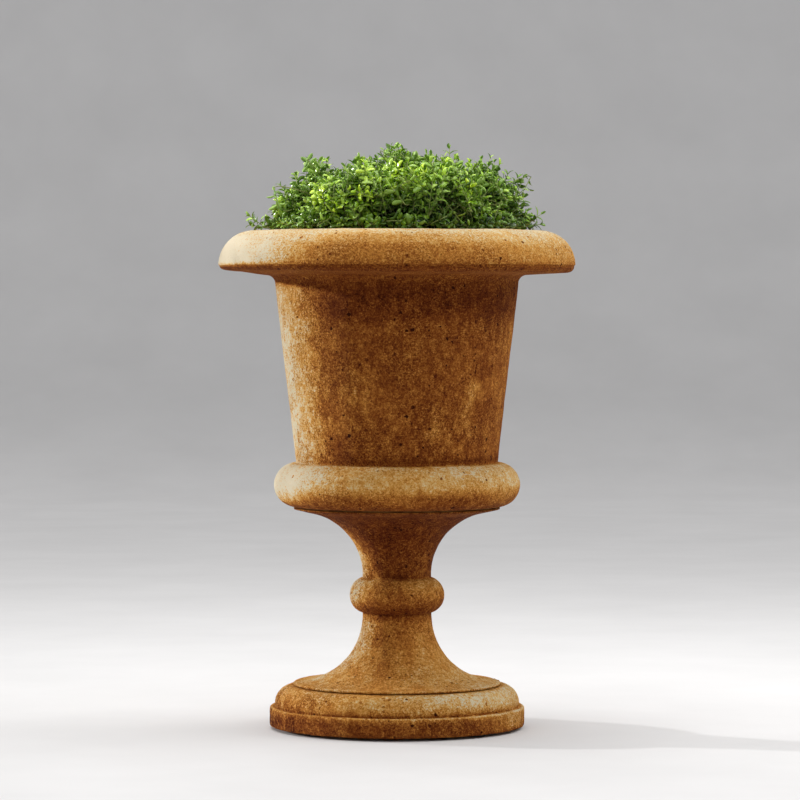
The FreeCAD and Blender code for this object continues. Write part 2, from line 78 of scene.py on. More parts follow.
# Three octaves of value noise, each half as large and half as strong as the one before. From -1 to 1.
def roughNoise(points, cell, seed):
    shares = (1, 0.5, 0.25)
    octaves = [latticeNoise(points, cell * share, seed + k) * share for k, share in enumerate(shares)]
    return sum(octaves) / sum(shares)


# Rises from 0 to 1 as the value goes from low to high, with level ends.
def smoothRise(value, low, high):
    share = np.clip((value - low) / (high - low), 0, 1)
    return share * share * (3 - 2 * share)


def unit(vectors):
    return vectors / np.linalg.norm(vectors, axis=-1, keepdims=True)


# A new mesh object from points and blocks of faces, each block with as many corners in every face.
def makePiece(name, points, faceBlocks, attributes={}):
    mesh = bpy.data.meshes.new(name)
    mesh.vertices.add(len(points))
    mesh.vertices.foreach_set("co", np.asarray(points, np.float32).ravel())
    corners = np.concatenate([block.ravel() for block in faceBlocks])
    sides = np.concatenate([np.full(len(block), block.shape[1]) for block in faceBlocks])
    mesh.loops.add(len(corners))
    mesh.loops.foreach_set("vertex_index", corners.astype(np.int32))
    mesh.polygons.add(len(sides))
    mesh.polygons.foreach_set("loop_start", (np.cumsum(sides) - sides).astype(np.int32))
    mesh.polygons.foreach_set("use_smooth", np.ones(len(sides), bool))
    mesh.update(calc_edges=True)
    mesh.validate()
    for key, values in attributes.items():
        layer = mesh.attributes.new(key, "FLOAT", "POINT")
        layer.data.foreach_set("value", np.asarray(values, np.float32).ravel())
    piece = bpy.data.objects.new(name, mesh)
    bpy.context.scene.collection.objects.link(piece)
    return piece


# Quads between rings of points, where each row is one ring. With closed rows, the last one joins the first.
def gridFaces(rows, columns, closedRows=False):
    row = np.arange(rows if closedRows else rows - 1)[:, None]
    column = np.arange(columns)[None, :]
    nextRow, nextColumn = (row + 1) % rows, (column + 1) % columns
    quads = [row * columns + column, row * columns + nextColumn,
             nextRow * columns + nextColumn, nextRow * columns + column]
    shape = (len(row), columns)
    return np.stack([np.broadcast_to(quad, shape) for quad in quads], axis=-1).reshape(-1, 4)


# Each row's radius and height carried round the axis in even steps.
def spinRows(radius, height, columns):
    angles = np.arange(columns) * 2 * math.pi / columns
    return np.stack([radius[:, None] * np.cos(angles), radius[:, None] * np.sin(angles),
                     np.repeat(height[:, None], columns, axis=1)], axis=-1).reshape(-1, 3)


# A closed piece from turned rows, with one pole under the first row and one over the last.
def makeCapped(name, points, poles, columns, attributes={}):
    total = len(points)
    first, last = poleFaces(total, 0, columns, False), poleFaces(total + 1, total - columns, columns)
    blocks = [gridFaces(total // columns, columns), np.concatenate([first, last])]
    return makePiece(name, np.concatenate([points, poles]), blocks, attributes)


# Gives a piece its material and its body, and hides the frame's node that it stands for.
def dress(piece, material, body, node):
    piece.data.materials.append(material)
    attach(piece, body)
    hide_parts(node)
    print(piece.name, len(piece.data.polygons), "faces")


# Triangles from a ring of vertices, which begins at start and turns left seen from outside, to one pole.
def poleFaces(pole, start, columns, turnsLeft=True):
    ring = start + np.arange(columns)
    following = np.roll(ring, -1)
    first, second = (ring, following) if turnsLeft else (following, ring)
    return np.stack([np.full(columns, pole), first, second], axis=-1)


# Many tubes at once. Each follows its own path through the given stations, with a round section of a few
# sides whose radius is given for each station, and closes to a point at both ends.
def tubeMesh(paths, radii, sides):
    count, stations = paths.shape[:2]
    along = unit(np.gradient(paths, axis=1))
    helper = np.where(np.abs(along[..., 2:]) > 0.8, [1.0, 0, 0], [0, 0, 1.0])
    across = unit(np.cross(helper, along))
    other = np.cross(along, across)
    angles = np.arange(sides) * 2 * math.pi / sides
    ring = across[:, :, None] * np.cos(angles)[:, None] + other[:, :, None] * np.sin(angles)[:, None]
    rings = paths[:, :, None] + ring * radii[:, :, None, None]
    points = np.concatenate([rings.reshape(count, -1, 3), paths[:, :1], paths[:, -1:]], axis=1)
    block = stations * sides
    faces = gridFaces(stations, sides)
    caps = np.concatenate([poleFaces(block, 0, sides, False),
                           poleFaces(block + 1, block - sides, sides)])
    shift = (np.arange(count) * (block + 2))[:, None, None]
    return points.reshape(-1, 3), (faces + shift).reshape(-1, 4), (caps + shift).reshape(-1, 3)


# Helpers for materials

# A number or colour on its way between a material's nodes. Arithmetic with it adds math nodes.
class Signal:
    def __init__(self, paint, socket):
        self.paint, self.socket = paint, socket

    def combine(self, operation, other=0.0):
        return self.paint.node("Math", {0: self, 1: other}, operation=operation)

    def __add__(self, other):
        return self.combine("ADD", other)

    def __sub__(self, other):
        return self.combine("SUBTRACT", other)

    def __mul__(self, other):
        return self.combine("MULTIPLY", other)

    # Carried from one range to another and held at its ends.
    def spread(self, low, high, outLow=0.0, outHigh=1.0):
        return self.paint.node("MapRange", {"Value": self, "From Min": low, "From Max": high,
                                            "To Min": outLow, "To Max": outHigh})

    def ramp(self, stops):
        colour = self.paint.node("ValToRGB", {"Fac": self})
        elements = colour.socket.node.color_ramp.elements
        while len(elements) < len(stops):
            elements.new(0.5)
        for element, (spot, shade) in zip(elements, stops):
            element.position = spot
            element.color = (*shade, 1)
        return colour

    # This colour, replaced by another one as far as the share says.
    def mix(self, other, share):
        other = other if isinstance(other, Signal) else (*other, 1)
        return self.paint.node("Mix", {0: share, 6: self, 7: other}, 2, data_type="RGBA")


# A new material whose nodes are made by these calls. Each gives the signal of one output.
class Paint:
    def __init__(self, name, roughness, specular):
        self.material = bpy.data.materials.new(name)
        self.material.use_nodes = True
        self.tree = self.material.node_tree
        self.inputs = self.tree.nodes["Principled BSDF"].inputs
        self.inputs["Roughness"].default_value = roughness
        self.inputs["Specular IOR Level"].default_value = specular

    def node(self, kind, inputs={}, output=0, **settings):
        node = self.tree.nodes.new("ShaderNode" + kind)
        for key, value in settings.items():
            setattr(node, key, value)
        for key, value in inputs.items():
            if isinstance(value, Signal):
                self.tree.links.new(value.socket, node.inputs[key])
            else:
                node.inputs[key].default_value = value
        return Signal(self, node.outputs[output])

    def place(self, upwards=1.0):
        place = self.node("TexCoord", output="Object")
        return self.node("Mapping", {"Vector": place, "Scale": (1, 1, upwards)})

    # Noise from 0 to 1: patterns to a metre, their stretch upwards, detail and roughness.
    def noise(self, scale, upwards=1.0, detail=3.0, roughness=0.6):
        return self.node("TexNoise", {"Vector": self.place(upwards), "Scale": scale, "Detail": detail,
                                      "Roughness": roughness})

    # A cell pattern: the distance to the nearest cell's point, and that cell's own random number.
    def cells(self, place, scale):
        distance = self.node("TexVoronoi", {"Vector": place, "Scale": scale}, "Distance")
        colour = Signal(self, distance.socket.node.outputs["Color"])
        return distance, self.node("SeparateColor", {0: colour})

    def attribute(self, name):
        return self.node("Attribute", output="Fac", attribute_name=name)

    def show(self, signal, name="Base Color"):
        self.tree.links.new(signal.socket, self.inputs[name])

    def bump(self, height, distance, strength=1.0):
        self.show(self.node("Bump", {"Height": height, "Distance": distance, "Strength": strength}), "Normal")


# The sum of the named signals, each times its own weight.
def weighSignals(signals, weights):
    parts = [signals[name] * weight for name, weight in weights.items()]
    return sum(parts[1:], parts[0])


# Cast stone: three turned castings, from one finish

stoneLook = {
    "tones": (                   # from dark brown, for patina and painted shade, to pale cream, for pale stone and painted sunlight
        (0.00, (0.045, 0.0075, 0.0010)), (0.15, (0.110, 0.0200, 0.0030)), (0.30, (0.215, 0.0510, 0.0082)),
        (0.45, (0.380, 0.1160, 0.0190)), (0.60, (0.640, 0.2500, 0.0430)), (0.75, (0.870, 0.4350, 0.0950)),
        (0.90, (0.935, 0.6700, 0.2950)), (1.00, (0.960, 0.8350, 0.6100))),
    "noises": {                  # patterns to a metre, stretch upwards, detail and roughness
        "cloud": (12, 1, 3, 0.6), "blotch": (30, 1, 4, 0.65), "streak": (85, 0.12, 3, 0.6),
        "grain": (270, 1, 4, 0.9), "line": (26, 26, 4, 0.75), "ragged": (120, 0.30, 4, 0.7),
        "worn": (60, 0.80, 4, 0.7), "flaked": (125, 0.90, 4, 0.7), "speckle": (440, 1, 2, 0.7),
        "gritty": (14, 1, 3, 0.6), "scratched": (26, 1, 2, 0.6), "porous": (20, 1, 2, 0.6)},
    "islandEdges": {"worn": 0.05, "flaked": 0.05, "speckle": 0.15},  # half width of each island's soft edge
    "gritty": (-0.12, 0.12, 0.55, 1.35),       # ranges of the noises, and what they become
    "scratch": (0.09, 0.15),
    "scratched": (-0.06, 0.02),
    "scratchScuff": (0, 0.5, 0.25, 1),
    "patch": (-0.01, 0.10),
    "patchGrain": 0.3,           # how much of the grain frays a patch's edge
    "porous": (-0.06, 0.08, 0.30, 1),
    "pores": (120, 0.34, 0.30),  # cells to a metre, largest size in a cell, share of cells with a hole
    "pits": (60, 0.20, 0.12),
    "holeBend": (260, 0.0045),   # patterns to a metre and reach, which make the holes uneven
    "marks": {"worn": 0.055, "flaked": 0.040, "blotch": 0.16, "streak": 0.15},      # tone of each
    "plain": {"speckle": 0.125, "cloud": 0.18, "grain": 1.05, "patch": 0.17, "scratch": 0.22, "line": 0.07,
              "hole": -0.50},
    "heights": {"speckle": 0.625, "hole": -2.2, "line": 0.8, "grain": 4.8, "blotch": 0.5, "worn": 0.088,
                "flaked": 0.064, "scratch": 0.264},
    "bump": 0.0011,
    "roughness": 0.92,
    "specular": 0.06,
}

# Painted light on the stone: its tone follows where the key sun falls, where the overhangs shade it, and the
# fill from the right.
paintedLighting = {
    "sunBearing": 23,            # degrees behind the left side, from where the painted sunlight falls
    "sunHeight": 12,
    "paintedSunlight": (0.03, 0.80),      # how squarely the sun falls where the painted sunlight starts and where it is full
    "sunlitMottle": 0.9,         # how much stronger the marks are where sunlight is painted, as painted shade of raking sun in the relief
    "sunlitGrit": 0.8,           # and the same for the fine speckle
    "ragged": (0.030, 0.10),     # cell and reach of the uneven edge between painted sunlight and painted shade
    "shadowEdge": (-0.001, 0.002),
    "fillLightBearing": 10,           # degrees before the right side, from where painted fill light falls on what faces up
    "fillLightHeight": 46,
    "paintedFillLight": (0.50, 0.95),
    "fillLightRagged": 1.5,
    "fillLightTone": 0.09,
}


# Direction from a bearing in degrees behind the left side and a height over the horizon.
def leftwards(bearing, height):
    bearing, height = math.radians(bearing), math.radians(height)
    level = math.cos(height)
    return np.array([-math.cos(bearing) * level, math.sin(bearing) * level, math.sin(height)])


# Round holes: in some cells of a pattern, a disc about the cell's point whose size the cell's random number
# gives.
def roundHoles(paint, place, scale, largest, share):
    distance, number = paint.cells(place, scale)
    depth = number.spread(1 - share, 1, 0, largest) - distance
    return depth.spread(0, 0.05)


# The stone's colour is one tone, from dark brown to pale cream: the level that each vertex brings, which holds
# painted sunlight and painted shade as well as the stone's own patina, plus blotches, upright streaks and
# ragged islands as strong as the vertex asks, plus clouds, speckle and fine grain, plus pale patches and level
# scratches, mostly where the stone is scuffed, less the dark of pores and pits.
def makeStoneMaterial():
    look = stoneLook
    paint = Paint("ochre_cast_stone", look["roughness"], look["specular"])
    parts = {name: paint.noise(*look["noises"][name]) - 0.5 for name in look["noises"]}
    for name, edge in look["islandEdges"].items():
        parts[name] = parts[name].spread(-edge, edge, -1, 1)
    parts["speckle"] *= paint.attribute("grit") * parts["gritty"].spread(*look["gritty"])
    scuff = paint.attribute("scuff")
    scratched = parts["scratched"].spread(*look["scratched"]) * scuff.spread(*look["scratchScuff"])
    parts["scratch"] = parts["line"].spread(*look["scratch"]) * scratched
    parts["patch"] = (parts["ragged"] + parts["grain"] * look["patchGrain"]).spread(*look["patch"]) * scuff
    scale, reach = look["holeBend"]
    place = paint.place()
    bend = paint.node("TexNoise", {"Vector": place, "Scale": scale, "Detail": 2.0}, "Color")
    bend = paint.node("VectorMath", {0: bend, 1: (reach, reach, reach)}, operation="MULTIPLY")
    uneven = paint.node("VectorMath", {0: place, 1: bend}, operation="ADD")
    pores, pits = roundHoles(paint, uneven, *look["pores"]), roundHoles(paint, uneven, *look["pits"])
    parts["hole"] = pores.combine("MAXIMUM", pits) * parts["porous"].spread(*look["porous"])
    marks = weighSignals(parts, look["marks"]) * paint.attribute("mottle")
    tone = paint.attribute("tone") + marks + weighSignals(parts, look["plain"])
    paint.show(tone.ramp(look["tones"]))
    paint.bump(weighSignals(parts, look["heights"]), look["bump"])
    return paint.material


# Points from start to end at even spacing near the given step, without the last. Each run also says how
# much the casting's unevenness shows there, and the stone's tone there with light painted in: its tone where it
# lies in shade, and its tone where sunlight is painted on it.
def straightRun(start, end, step, relief=1.0, shade=0.4, sun=0.6):
    start, end = np.array(start), np.array(end)
    count = max(1, round(float(np.hypot(*(end - start))) / step))
    return start + (end - start) * np.arange(count)[:, None] / count, relief, shade, sun


# Points on a circle about a centre, between two angles in degrees, without the last.
def arcRun(centre, radius, startAngle, endAngle, step, relief=1.0, shade=0.4, sun=0.6):
    count = max(2, round(radius * math.radians(abs(endAngle - startAngle)) / step))
    angles = np.radians(startAngle + (endAngle - startAngle) * np.arange(count) / count)
    spots = np.array(centre) + radius * np.stack([np.cos(angles), np.sin(angles)], axis=-1)
    return spots, relief, shade, sun


# Straight runs end to end from corner to corner, each with its own spacing, relief and tones.
def straightRuns(corners, *looks):
    return [straightRun(*corners[i:i + 2], *look) for i, look in enumerate(looks)]


# Arcs of one circle end to end from angle to angle, each with its own spacing, relief and tones.
def arcRuns(centre, radius, angles, *looks):
    return [arcRun(centre, radius, *angles[i:i + 2], *look) for i, look in enumerate(looks)]


# A level bed from one radius to another, with rows close together where its ring of holes is.
def drilledRuns(start, end, height, hole, lastStep=0.012):
    ring, reach = dowelHoles["ringRadius"], math.copysign(hole * 1.5, end - start)
    corners = [(radius, height) for radius in (start, ring - reach, ring + reach, end)]
    return straightRuns(corners, (0.012, 0), (0.0014, 0), (lastStep, 0))


# One closed profile from its runs, with each value along it softened over a few rows. Where a run has no
# relief, it stays without.
def joinRuns(runs, softRows=2):
    spots = np.concatenate([run[0] for run in runs])
    values = np.concatenate([np.tile(run[1:], (len(run[0]), 1)) for run in runs])
    shifts = range(-softRows, softRows + 1)
    softened = sum(np.roll(values, shift, axis=0) for shift in shifts) / len(shifts)
    softened[values[:, 0] == 0, 0] = 0
    return spots, softened[:, 0], softened[:, 1], softened[:, 2]


castingRelief = {
    "noises": ((0.085, 0.00065), (0.018, 0.00032), (0.0052, 0.00012)),  # cell and depth: swell, lumps and sand
    "toolLine": (0.0045, 0.00013),
    "toolLineLength": 0.07,      # share by which the lines are stretched round the axis
    "chipCell": 0.022,
    "frayCell": 0.006,
    "frayReach": 0.006,          # how far the edges of patches move
    "leastScuff": 0.12,
    "sharpAngle": 50,
}


# How far sun reaches each point past an overhanging circle, for the cast shadow that is painted into the tone:
# the circle is met at a distance towards the sun, and its shadow ends as far below it as the sun's height gives
# over that distance.
def sunPast(points, radius, height):
    sun = leftwards(paintedLighting["sunBearing"], paintedLighting["sunHeight"])
    level = np.hypot(sun[0], sun[1])
    towards = (points[:, :2] @ sun[:2]) / level
    within = radius ** 2 - (points[:, :2] ** 2).sum(axis=-1)
    distance = np.sqrt(np.maximum(towards ** 2 + within, 0)) - towards
    edge = height - distance * sun[2] / level
    sheltered = (within > 0) & (points[:, 2] < height)
    return np.where(sheltered, smoothRise(edge - points[:, 2], *paintedLighting["shadowEdge"]), 1.0)


# Tone of each vertex, with light painted in: its run's shade tone, moved to its sun tone by how squarely the
# sun falls on it past the overhangs, which paints their cast shadows, with a ragged edge, plus painted fill
# light where it faces up and to the right.
def paintedLightTone(points, normals, shade, sun, overhangs, seed):
    past = paintedLighting
    sunlit = normals @ leftwards(past["sunBearing"], past["sunHeight"])
    cell, reach = past["ragged"]
    ragged = roughNoise(points, cell, seed) * reach
    paintedSunlight = smoothRise(sunlit + ragged, *past["paintedSunlight"])
    for radius, height in overhangs:
        paintedSunlight = paintedSunlight * sunPast(points, radius, height)
    facingFillLight = normals @ leftwards(180 + past["fillLightBearing"], past["fillLightHeight"])
    paintedFillLight = smoothRise(facingFillLight + ragged * past["fillLightRagged"], *past["paintedFillLight"]) * (1 - paintedSunlight)
    return shade + (sun - shade) * paintedSunlight + past["fillLightTone"] * paintedFillLight, paintedSunlight


# How strongly a spot on a turned face shows at each point: it fades as a bell over its half width in
# degrees and its half height, from its strength at its bearing and height.
def spotShare(points, spot):
    middle, height, halfWidth, halfHeight, strength = spot
    bearing = np.degrees(np.arctan2(points[:, 1], points[:, 0]))
    sideways = (bearing - middle + 180) % 360 - 180
    return strength * np.exp(-(sideways / halfWidth) ** 2 - ((points[:, 2] - height) / halfHeight) ** 2)


# A stone piece turned from a closed profile: the profile's points go round the axis, and each one is moved
# along the profile's outward side by noise, less a chip wherever broken noise passes an arris.
def turnStone(name, runs, columns, seed, arrises=(), holes=(), scuffs=(), patches=(), overhangs=(),
              mottle=((0, 1.0),), bend=None):
    look = castingRelief
    spots, relief, shade, sun = joinRuns(runs)
    travel = np.roll(spots, -1, axis=0) - np.roll(spots, 1, axis=0)
    outward = unit(np.stack([travel[:, 1], -travel[:, 0]], axis=-1))
    points = spinRows(spots[:, 0], spots[:, 1], columns)
    normals = spinRows(outward[:, 0], outward[:, 1], columns)
    push = np.zeros(len(points))
    for (cell, depth), extra in zip(look["noises"], (0, 1, 2)):
        push += latticeNoise(points, cell, seed + extra) * depth
    cell, depth = look["toolLine"]
    stretched = points * np.array([look["toolLineLength"]] * 2 + [1])
    push += latticeNoise(stretched, cell, seed + 3) * depth
    push *= np.repeat(relief, columns)
    tone, paintedSunlight = paintedLightTone(points, normals, np.repeat(shade, columns), np.repeat(sun, columns),
                                 overhangs, seed + 5)
    broken = roughNoise(points, look["chipCell"], seed + 4)
    fray = latticeNoise(points, look["frayCell"], seed + 8)
    for radius, height, reach, depth, paleness in arrises:
        away = np.repeat(np.hypot(spots[:, 0] - radius, spots[:, 1] - height), columns)
        nearness = np.exp(-(away / reach) ** 2)
        bite = np.clip(broken + 0.35 * fray - 0.12, 0, 1)
        push -= nearness * depth * (bite * 1.6 + 0.12 * (1 + fray))
        tone += nearness * paleness * (0.6 + 0.8 * broken)
    scuff = np.full(len(points), look["leastScuff"])
    ragged = points + np.stack([broken, fray, broken + fray], axis=-1) * look["frayReach"]
    for spot in scuffs:
        scuff = np.maximum(scuff, spotShare(points, spot))
    for spot in patches:
        tone += spotShare(ragged, spot)
    points = points + normals * push[:, None]
    if bend:
        points = bend(points)
    for hole in holes:
        points = pressHoles(points, *hole)
    # Marks and speckle grow stronger where sunlight is painted, which paints the shade that raking sun casts in
    # the relief.
    mottled = np.interp(points[:, 2], *np.array(mottle).T) * (1 + paintedLighting["sunlitMottle"] * paintedSunlight)
    piece = makePiece(name, points, [gridFaces(len(spots), columns, closedRows=True)], {
        "tone": tone, "scuff": scuff, "mottle": mottled, "grit": 1 + paintedLighting["sunlitGrit"] * paintedSunlight})
    piece.data.set_sharp_from_angle(angle=math.radians(look["sharpAngle"]))
    return piece


# Blind holes in a level face: vertices inside each circle go down by the depth, and those beside it go to
# its edge.
def pressHoles(points, radius, face, depth):
    points = points.copy()
    level = np.abs(points[:, 2] - face) < 1e-5
    for index in range(dowelHoles["count"]):
        angle = 2 * math.pi * index / dowelHoles["count"]
        centre = np.array([math.cos(angle), math.sin(angle)]) * dowelHoles["ringRadius"]
        arm = points[:, :2] - centre
        away = np.hypot(arm[:, 0], arm[:, 1])
        inside = level & (away < radius)
        edge = level & (away > radius * 0.72) & (away < radius * 1.22)
        points[edge, :2] = centre + arm[edge] / away[edge, None] * radius
        points[inside, 2] = face + depth
    return points


dowelHoles = {
    "radius": 0.005,
    "liftRadius": 0.0055,        # in the bowl, which lifts off its dowels
    "ringRadius": 0.070,
    "count": 3,
    "depth": 0.0215,
    "liftDepth": 0.016,
}
boreRadius = 0.0164              # of the drain through plinth and pedestal

bowlShape = {
    "torusRadius": 0.0325,
    "footRadius": 0.150,
    "bodyFlare": 0.0305,
    "bodyHeight": 0.2655,
    "wall": 0.027,
    "soffitFillet": 0.0125,
    "soffitRise": 0.0032,
    "lipReturn": 0.0105,
    "lipStepWidth": 0.0016,
    "rimRoll": 0.051,
    "mouthRounding": 0.012,
    "floorThickness": 0.042,
    "cornerRadius": 0.030,
    "drainHole": 0.0166,
    "lipLift": 0.0042,
    "liftBearing": 195,          # where the lip is shallowest, and over how many degrees that fades
    "liftWidth": 62,
    "liftFoot": 0.010,           # how far under the lip the lift still holds
    "columns": 440,
    "footBand": 0.012,           # bands of the body that have tones of their own
    "lowBand": 0.080,
    "topBand": 0.050,
    "mouthBand": 0.050,
    "mottle": ((0.330, 0.75), (0.395, 0.65), (0.410, 0.9), (0.640, 0.8), (0.660, 0.45), (0.740, 0.40)),
    "scuffs": (                  # bearing, height, half width in degrees, half height, strength
        (-48, 0.505, 5.5, 0.028, 1.0), (-52, 0.462, 4.5, 0.020, 0.9), (-40, 0.560, 9.0, 0.050, 0.45),
        (-113, 0.500, 14.0, 0.045, 0.75), (-118, 0.450, 12.0, 0.016, 0.9), (-64, 0.412, 7.0, 0.010, 0.9),
        (-66, 0.440, 24.0, 0.036, 0.85), (-100, 0.600, 18.0, 0.030, 0.30), (-55, 0.385, 18.0, 0.018, 0.6),
        (-140, 0.520, 10.0, 0.080, 0.45), (40, 0.520, 24.0, 0.060, 0.6), (120, 0.470, 20.0, 0.050, 0.6),
        (175, 0.550, 14.0, 0.060, 0.4), (-75, 0.360, 10.0, 0.012, 0.7), (75, 0.600, 15.0, 0.030, 0.5)),
    # Tone patches: pale scuffs on the body, painted light at the rim's ends and on the body's right, and
    # painted shade under the rim and low on the torus.
    "patches": (                 # the same, with the tone that each patch adds
        (-48, 0.500, 6.0, 0.022, 0.16), (-52, 0.462, 5.0, 0.018, 0.12), (-18, 0.500, 9.0, 0.120, 0.08),
        (-8, 0.705, 26.0, 0.030, 0.10), (-50, 0.700, 20.0, 0.030, 0.04), (-132, 0.705, 20.0, 0.030, 0.06),
        (-10, 0.600, 10.0, 0.050, 0.08), (-115, 0.500, 12.0, 0.045, 0.05), (-90, 0.640, 40.0, 0.012, -0.06),
        (-30, 0.350, 14.0, 0.014, 0.06), (-62, 0.346, 16.0, 0.010, -0.10), (-105, 0.343, 10.0, 0.009, -0.10)),
}


# The bowl's profile goes from the drain hole out along the underside, up the torus, the body, the soffit
# and the rolled rim, over the mouth and down the inner wall to the floor.
def makeBowl():
    shape = bowlShape
    low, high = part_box("bowl")
    base, top, rim = low.z, high.z, nodes["bowl"].dimensions.x / 2
    torus, foot, fillet = shape["torusRadius"], shape["footRadius"], shape["soffitFillet"]
    bodyBase = base + 2 * torus
    bodyTop = bodyBase + shape["bodyHeight"]
    bodyRadius = foot + shape["bodyFlare"]
    slope = shape["bodyFlare"] / shape["bodyHeight"]
    soffit = bodyTop + fillet
    returnBase = soffit + shape["soffitRise"]
    turnBack = shape["lipReturn"]
    stepRadius = rim - shape["lipStepWidth"]
    lip = top - shape["rimRoll"]
    crest = rim - shape["rimRoll"]
    soffitEdge = stepRadius - turnBack

    def inner(height):
        return foot + (height - bodyBase) * slope - shape["wall"]

    def onBody(height):
        return foot + (height - bodyBase) * slope, height

    mouth = top - shape["mouthRounding"]
    mouthEdge = inner(mouth) + shape["mouthRounding"]
    floor = base + shape["floorThickness"]
    corner = floor + shape["cornerRadius"]
    floorRadius = inner(corner) - shape["cornerRadius"]
    band = mouth - shape["mouthBand"]
    drain, hole = shape["drainHole"], dowelHoles["liftRadius"]
    # Each run's two tones are partly the stone's colour and partly painted light: the low tones at the body's
    # foot and top, in the soffit, on the lip's return and under the torus paint shade, and sun tones past 1 on
    # the torus and rim paint sunlight.
    runs = [
        *drilledRuns(drain, foot, base, hole, 0.011),
        *arcRuns((foot, base + torus), torus, (-90, -45, -8, 90),
                 (0.0034, 1, 0.36, 0.48), (0.0034, 1, 0.48, 1.05), (0.0034, 1, 0.73, 1.22)),
        *straightRuns([(foot, bodyBase), onBody(bodyBase + shape["footBand"]),
                       onBody(bodyBase + shape["lowBand"]), onBody(bodyTop - shape["topBand"]),
                       (bodyRadius, bodyTop)],
                      (0.003, 1, 0.27, 0.80), (0.004, 1, 0.378, 0.93), (0.004, 1, 0.386, 0.94),
                      (0.004, 1, 0.27, 0.90)),
        arcRun((bodyRadius + fillet, bodyTop), fillet, 180, 90, 0.003, 1, 0.34, 0.46),
        straightRun((bodyRadius + fillet, soffit), (soffitEdge, returnBase), 0.006, 1, 0.39, 0.40),
        arcRun((soffitEdge, returnBase + turnBack), turnBack, -90, 0, 0.0022, 0.6, 0.31, 0.24),
        # A very dark band under the lip's arris: painted shadow.
        straightRun((stepRadius, returnBase + turnBack), (rim, lip), 0.0012, 0.5, 0.14, 0.18),
        *arcRuns((crest, lip), shape["rimRoll"], (0, 38, 62, 90),
                 (0.0031, 1, 0.545, 1.22), (0.0031, 1, 0.71, 1.18), (0.0031, 1, 0.84, 1.10)),
        straightRun((crest, top), (mouthEdge, top), 0.004, 1, 0.78, 0.94),
        arcRun((mouthEdge, mouth), shape["mouthRounding"], 90, 180, 0.003, 1, 0.66, 0.80),
        *straightRuns([(inner(height), height) for height in (mouth, band, corner)],
                      (0.005, 1, 0.36, 0.45), (0.018, 0, 0.25, 0.25)),
        arcRun((floorRadius, corner), shape["cornerRadius"], 0, -90, 0.010, 0, 0.22, 0.22),
        *straightRuns([(floorRadius, floor), (drain, floor), (drain, base)],
                      (0.020, 0, 0.22, 0.22), (0.012, 0, 0.25, 0.25)),
    ]

    # The cast is uneven: on its left the turned-back lip is shallower. Heights under the lip's arris go up by a
    # share of their distance to it.
    def liftLip(points):
        out = np.hypot(points[:, 0], points[:, 1])
        bearing = np.degrees(np.arctan2(points[:, 1], points[:, 0]))
        sideways = (bearing - shape["liftBearing"] + 180) % 360 - 180
        share = np.exp(-(sideways / shape["liftWidth"]) ** 2) * smoothRise(out, bodyRadius + fillet, soffitEdge)
        share = share * shape["lipLift"] / (lip - returnBase)
        under = (points[:, 2] < lip) & (points[:, 2] > returnBase - shape["liftFoot"])
        points[:, 2] += np.where(under, (lip - points[:, 2]) * share, 0)
        return points

    return turnStone(
        "stone_bowl", runs, shape["columns"], 11, scuffs=shape["scuffs"], patches=shape["patches"],
        arrises=((rim - 0.0005, lip + 0.001, 0.0022, 0.0012, 0.10),
                 (stepRadius, returnBase + turnBack, 0.0018, 0.0006, 0.0)),
        holes=((hole, base, dowelHoles["liftDepth"]),),
        overhangs=((soffitEdge, returnBase + shape["lipLift"]),), mottle=shape["mottle"], bend=liftLip)


pedestalShape = {
    "skirtEdge": 0.0025,
    "bevelWidth": 0.003,
    "bevelHeight": 0.001,
    "lowerCove": 0.100,
    "lowerNeck": 0.003,
    "neckRadius": 0.051,
    "knopBulge": 0.0194,
    "knopHeight": 0.0525,
    "upperNeck": 0.002,
    "upperCove": 0.096,
    "upperCoveAngle": 78,
    "flangeWidth": 0.02596,
    "flangeEdge": 0.0021,
    "collarSeatRadius": 0.0244,
    "collarSeatDepth": 0.003,
    "columns": 400,
    "mottle": 0.75,
    "overhangs": ((0.173, 0.339), (0.063, 0.1995)),   # the bowl's foot and the knop, whose cast shadows are painted: radius and height
    "scuffs": (
        (-90, 0.100, 40.0, 0.030, 0.30), (-60, 0.250, 40.0, 0.040, 0.25), (90, 0.110, 60.0, 0.030, 0.35)),
    # Tone patches: the lighter ones on the knop, the lower cove and the skirt's right paint light, and the
    # darker ones under the knop, low on its right and in the upper cove's middle paint shade.
    "patches": (
        (-125, 0.224, 7.0, 0.006, 0.22), (-90, 0.176, 45.0, 0.006, -0.14), (-30, 0.075, 24.0, 0.014, 0.09),
        (0, 0.078, 24.0, 0.022, 0.09), (-92, 0.290, 24.0, 0.022, -0.07), (-38, 0.240, 20.0, 0.050, 0.04),
        (-60, 0.120, 14.0, 0.030, 0.06), (-20, 0.200, 20.0, 0.012, -0.05)),
}


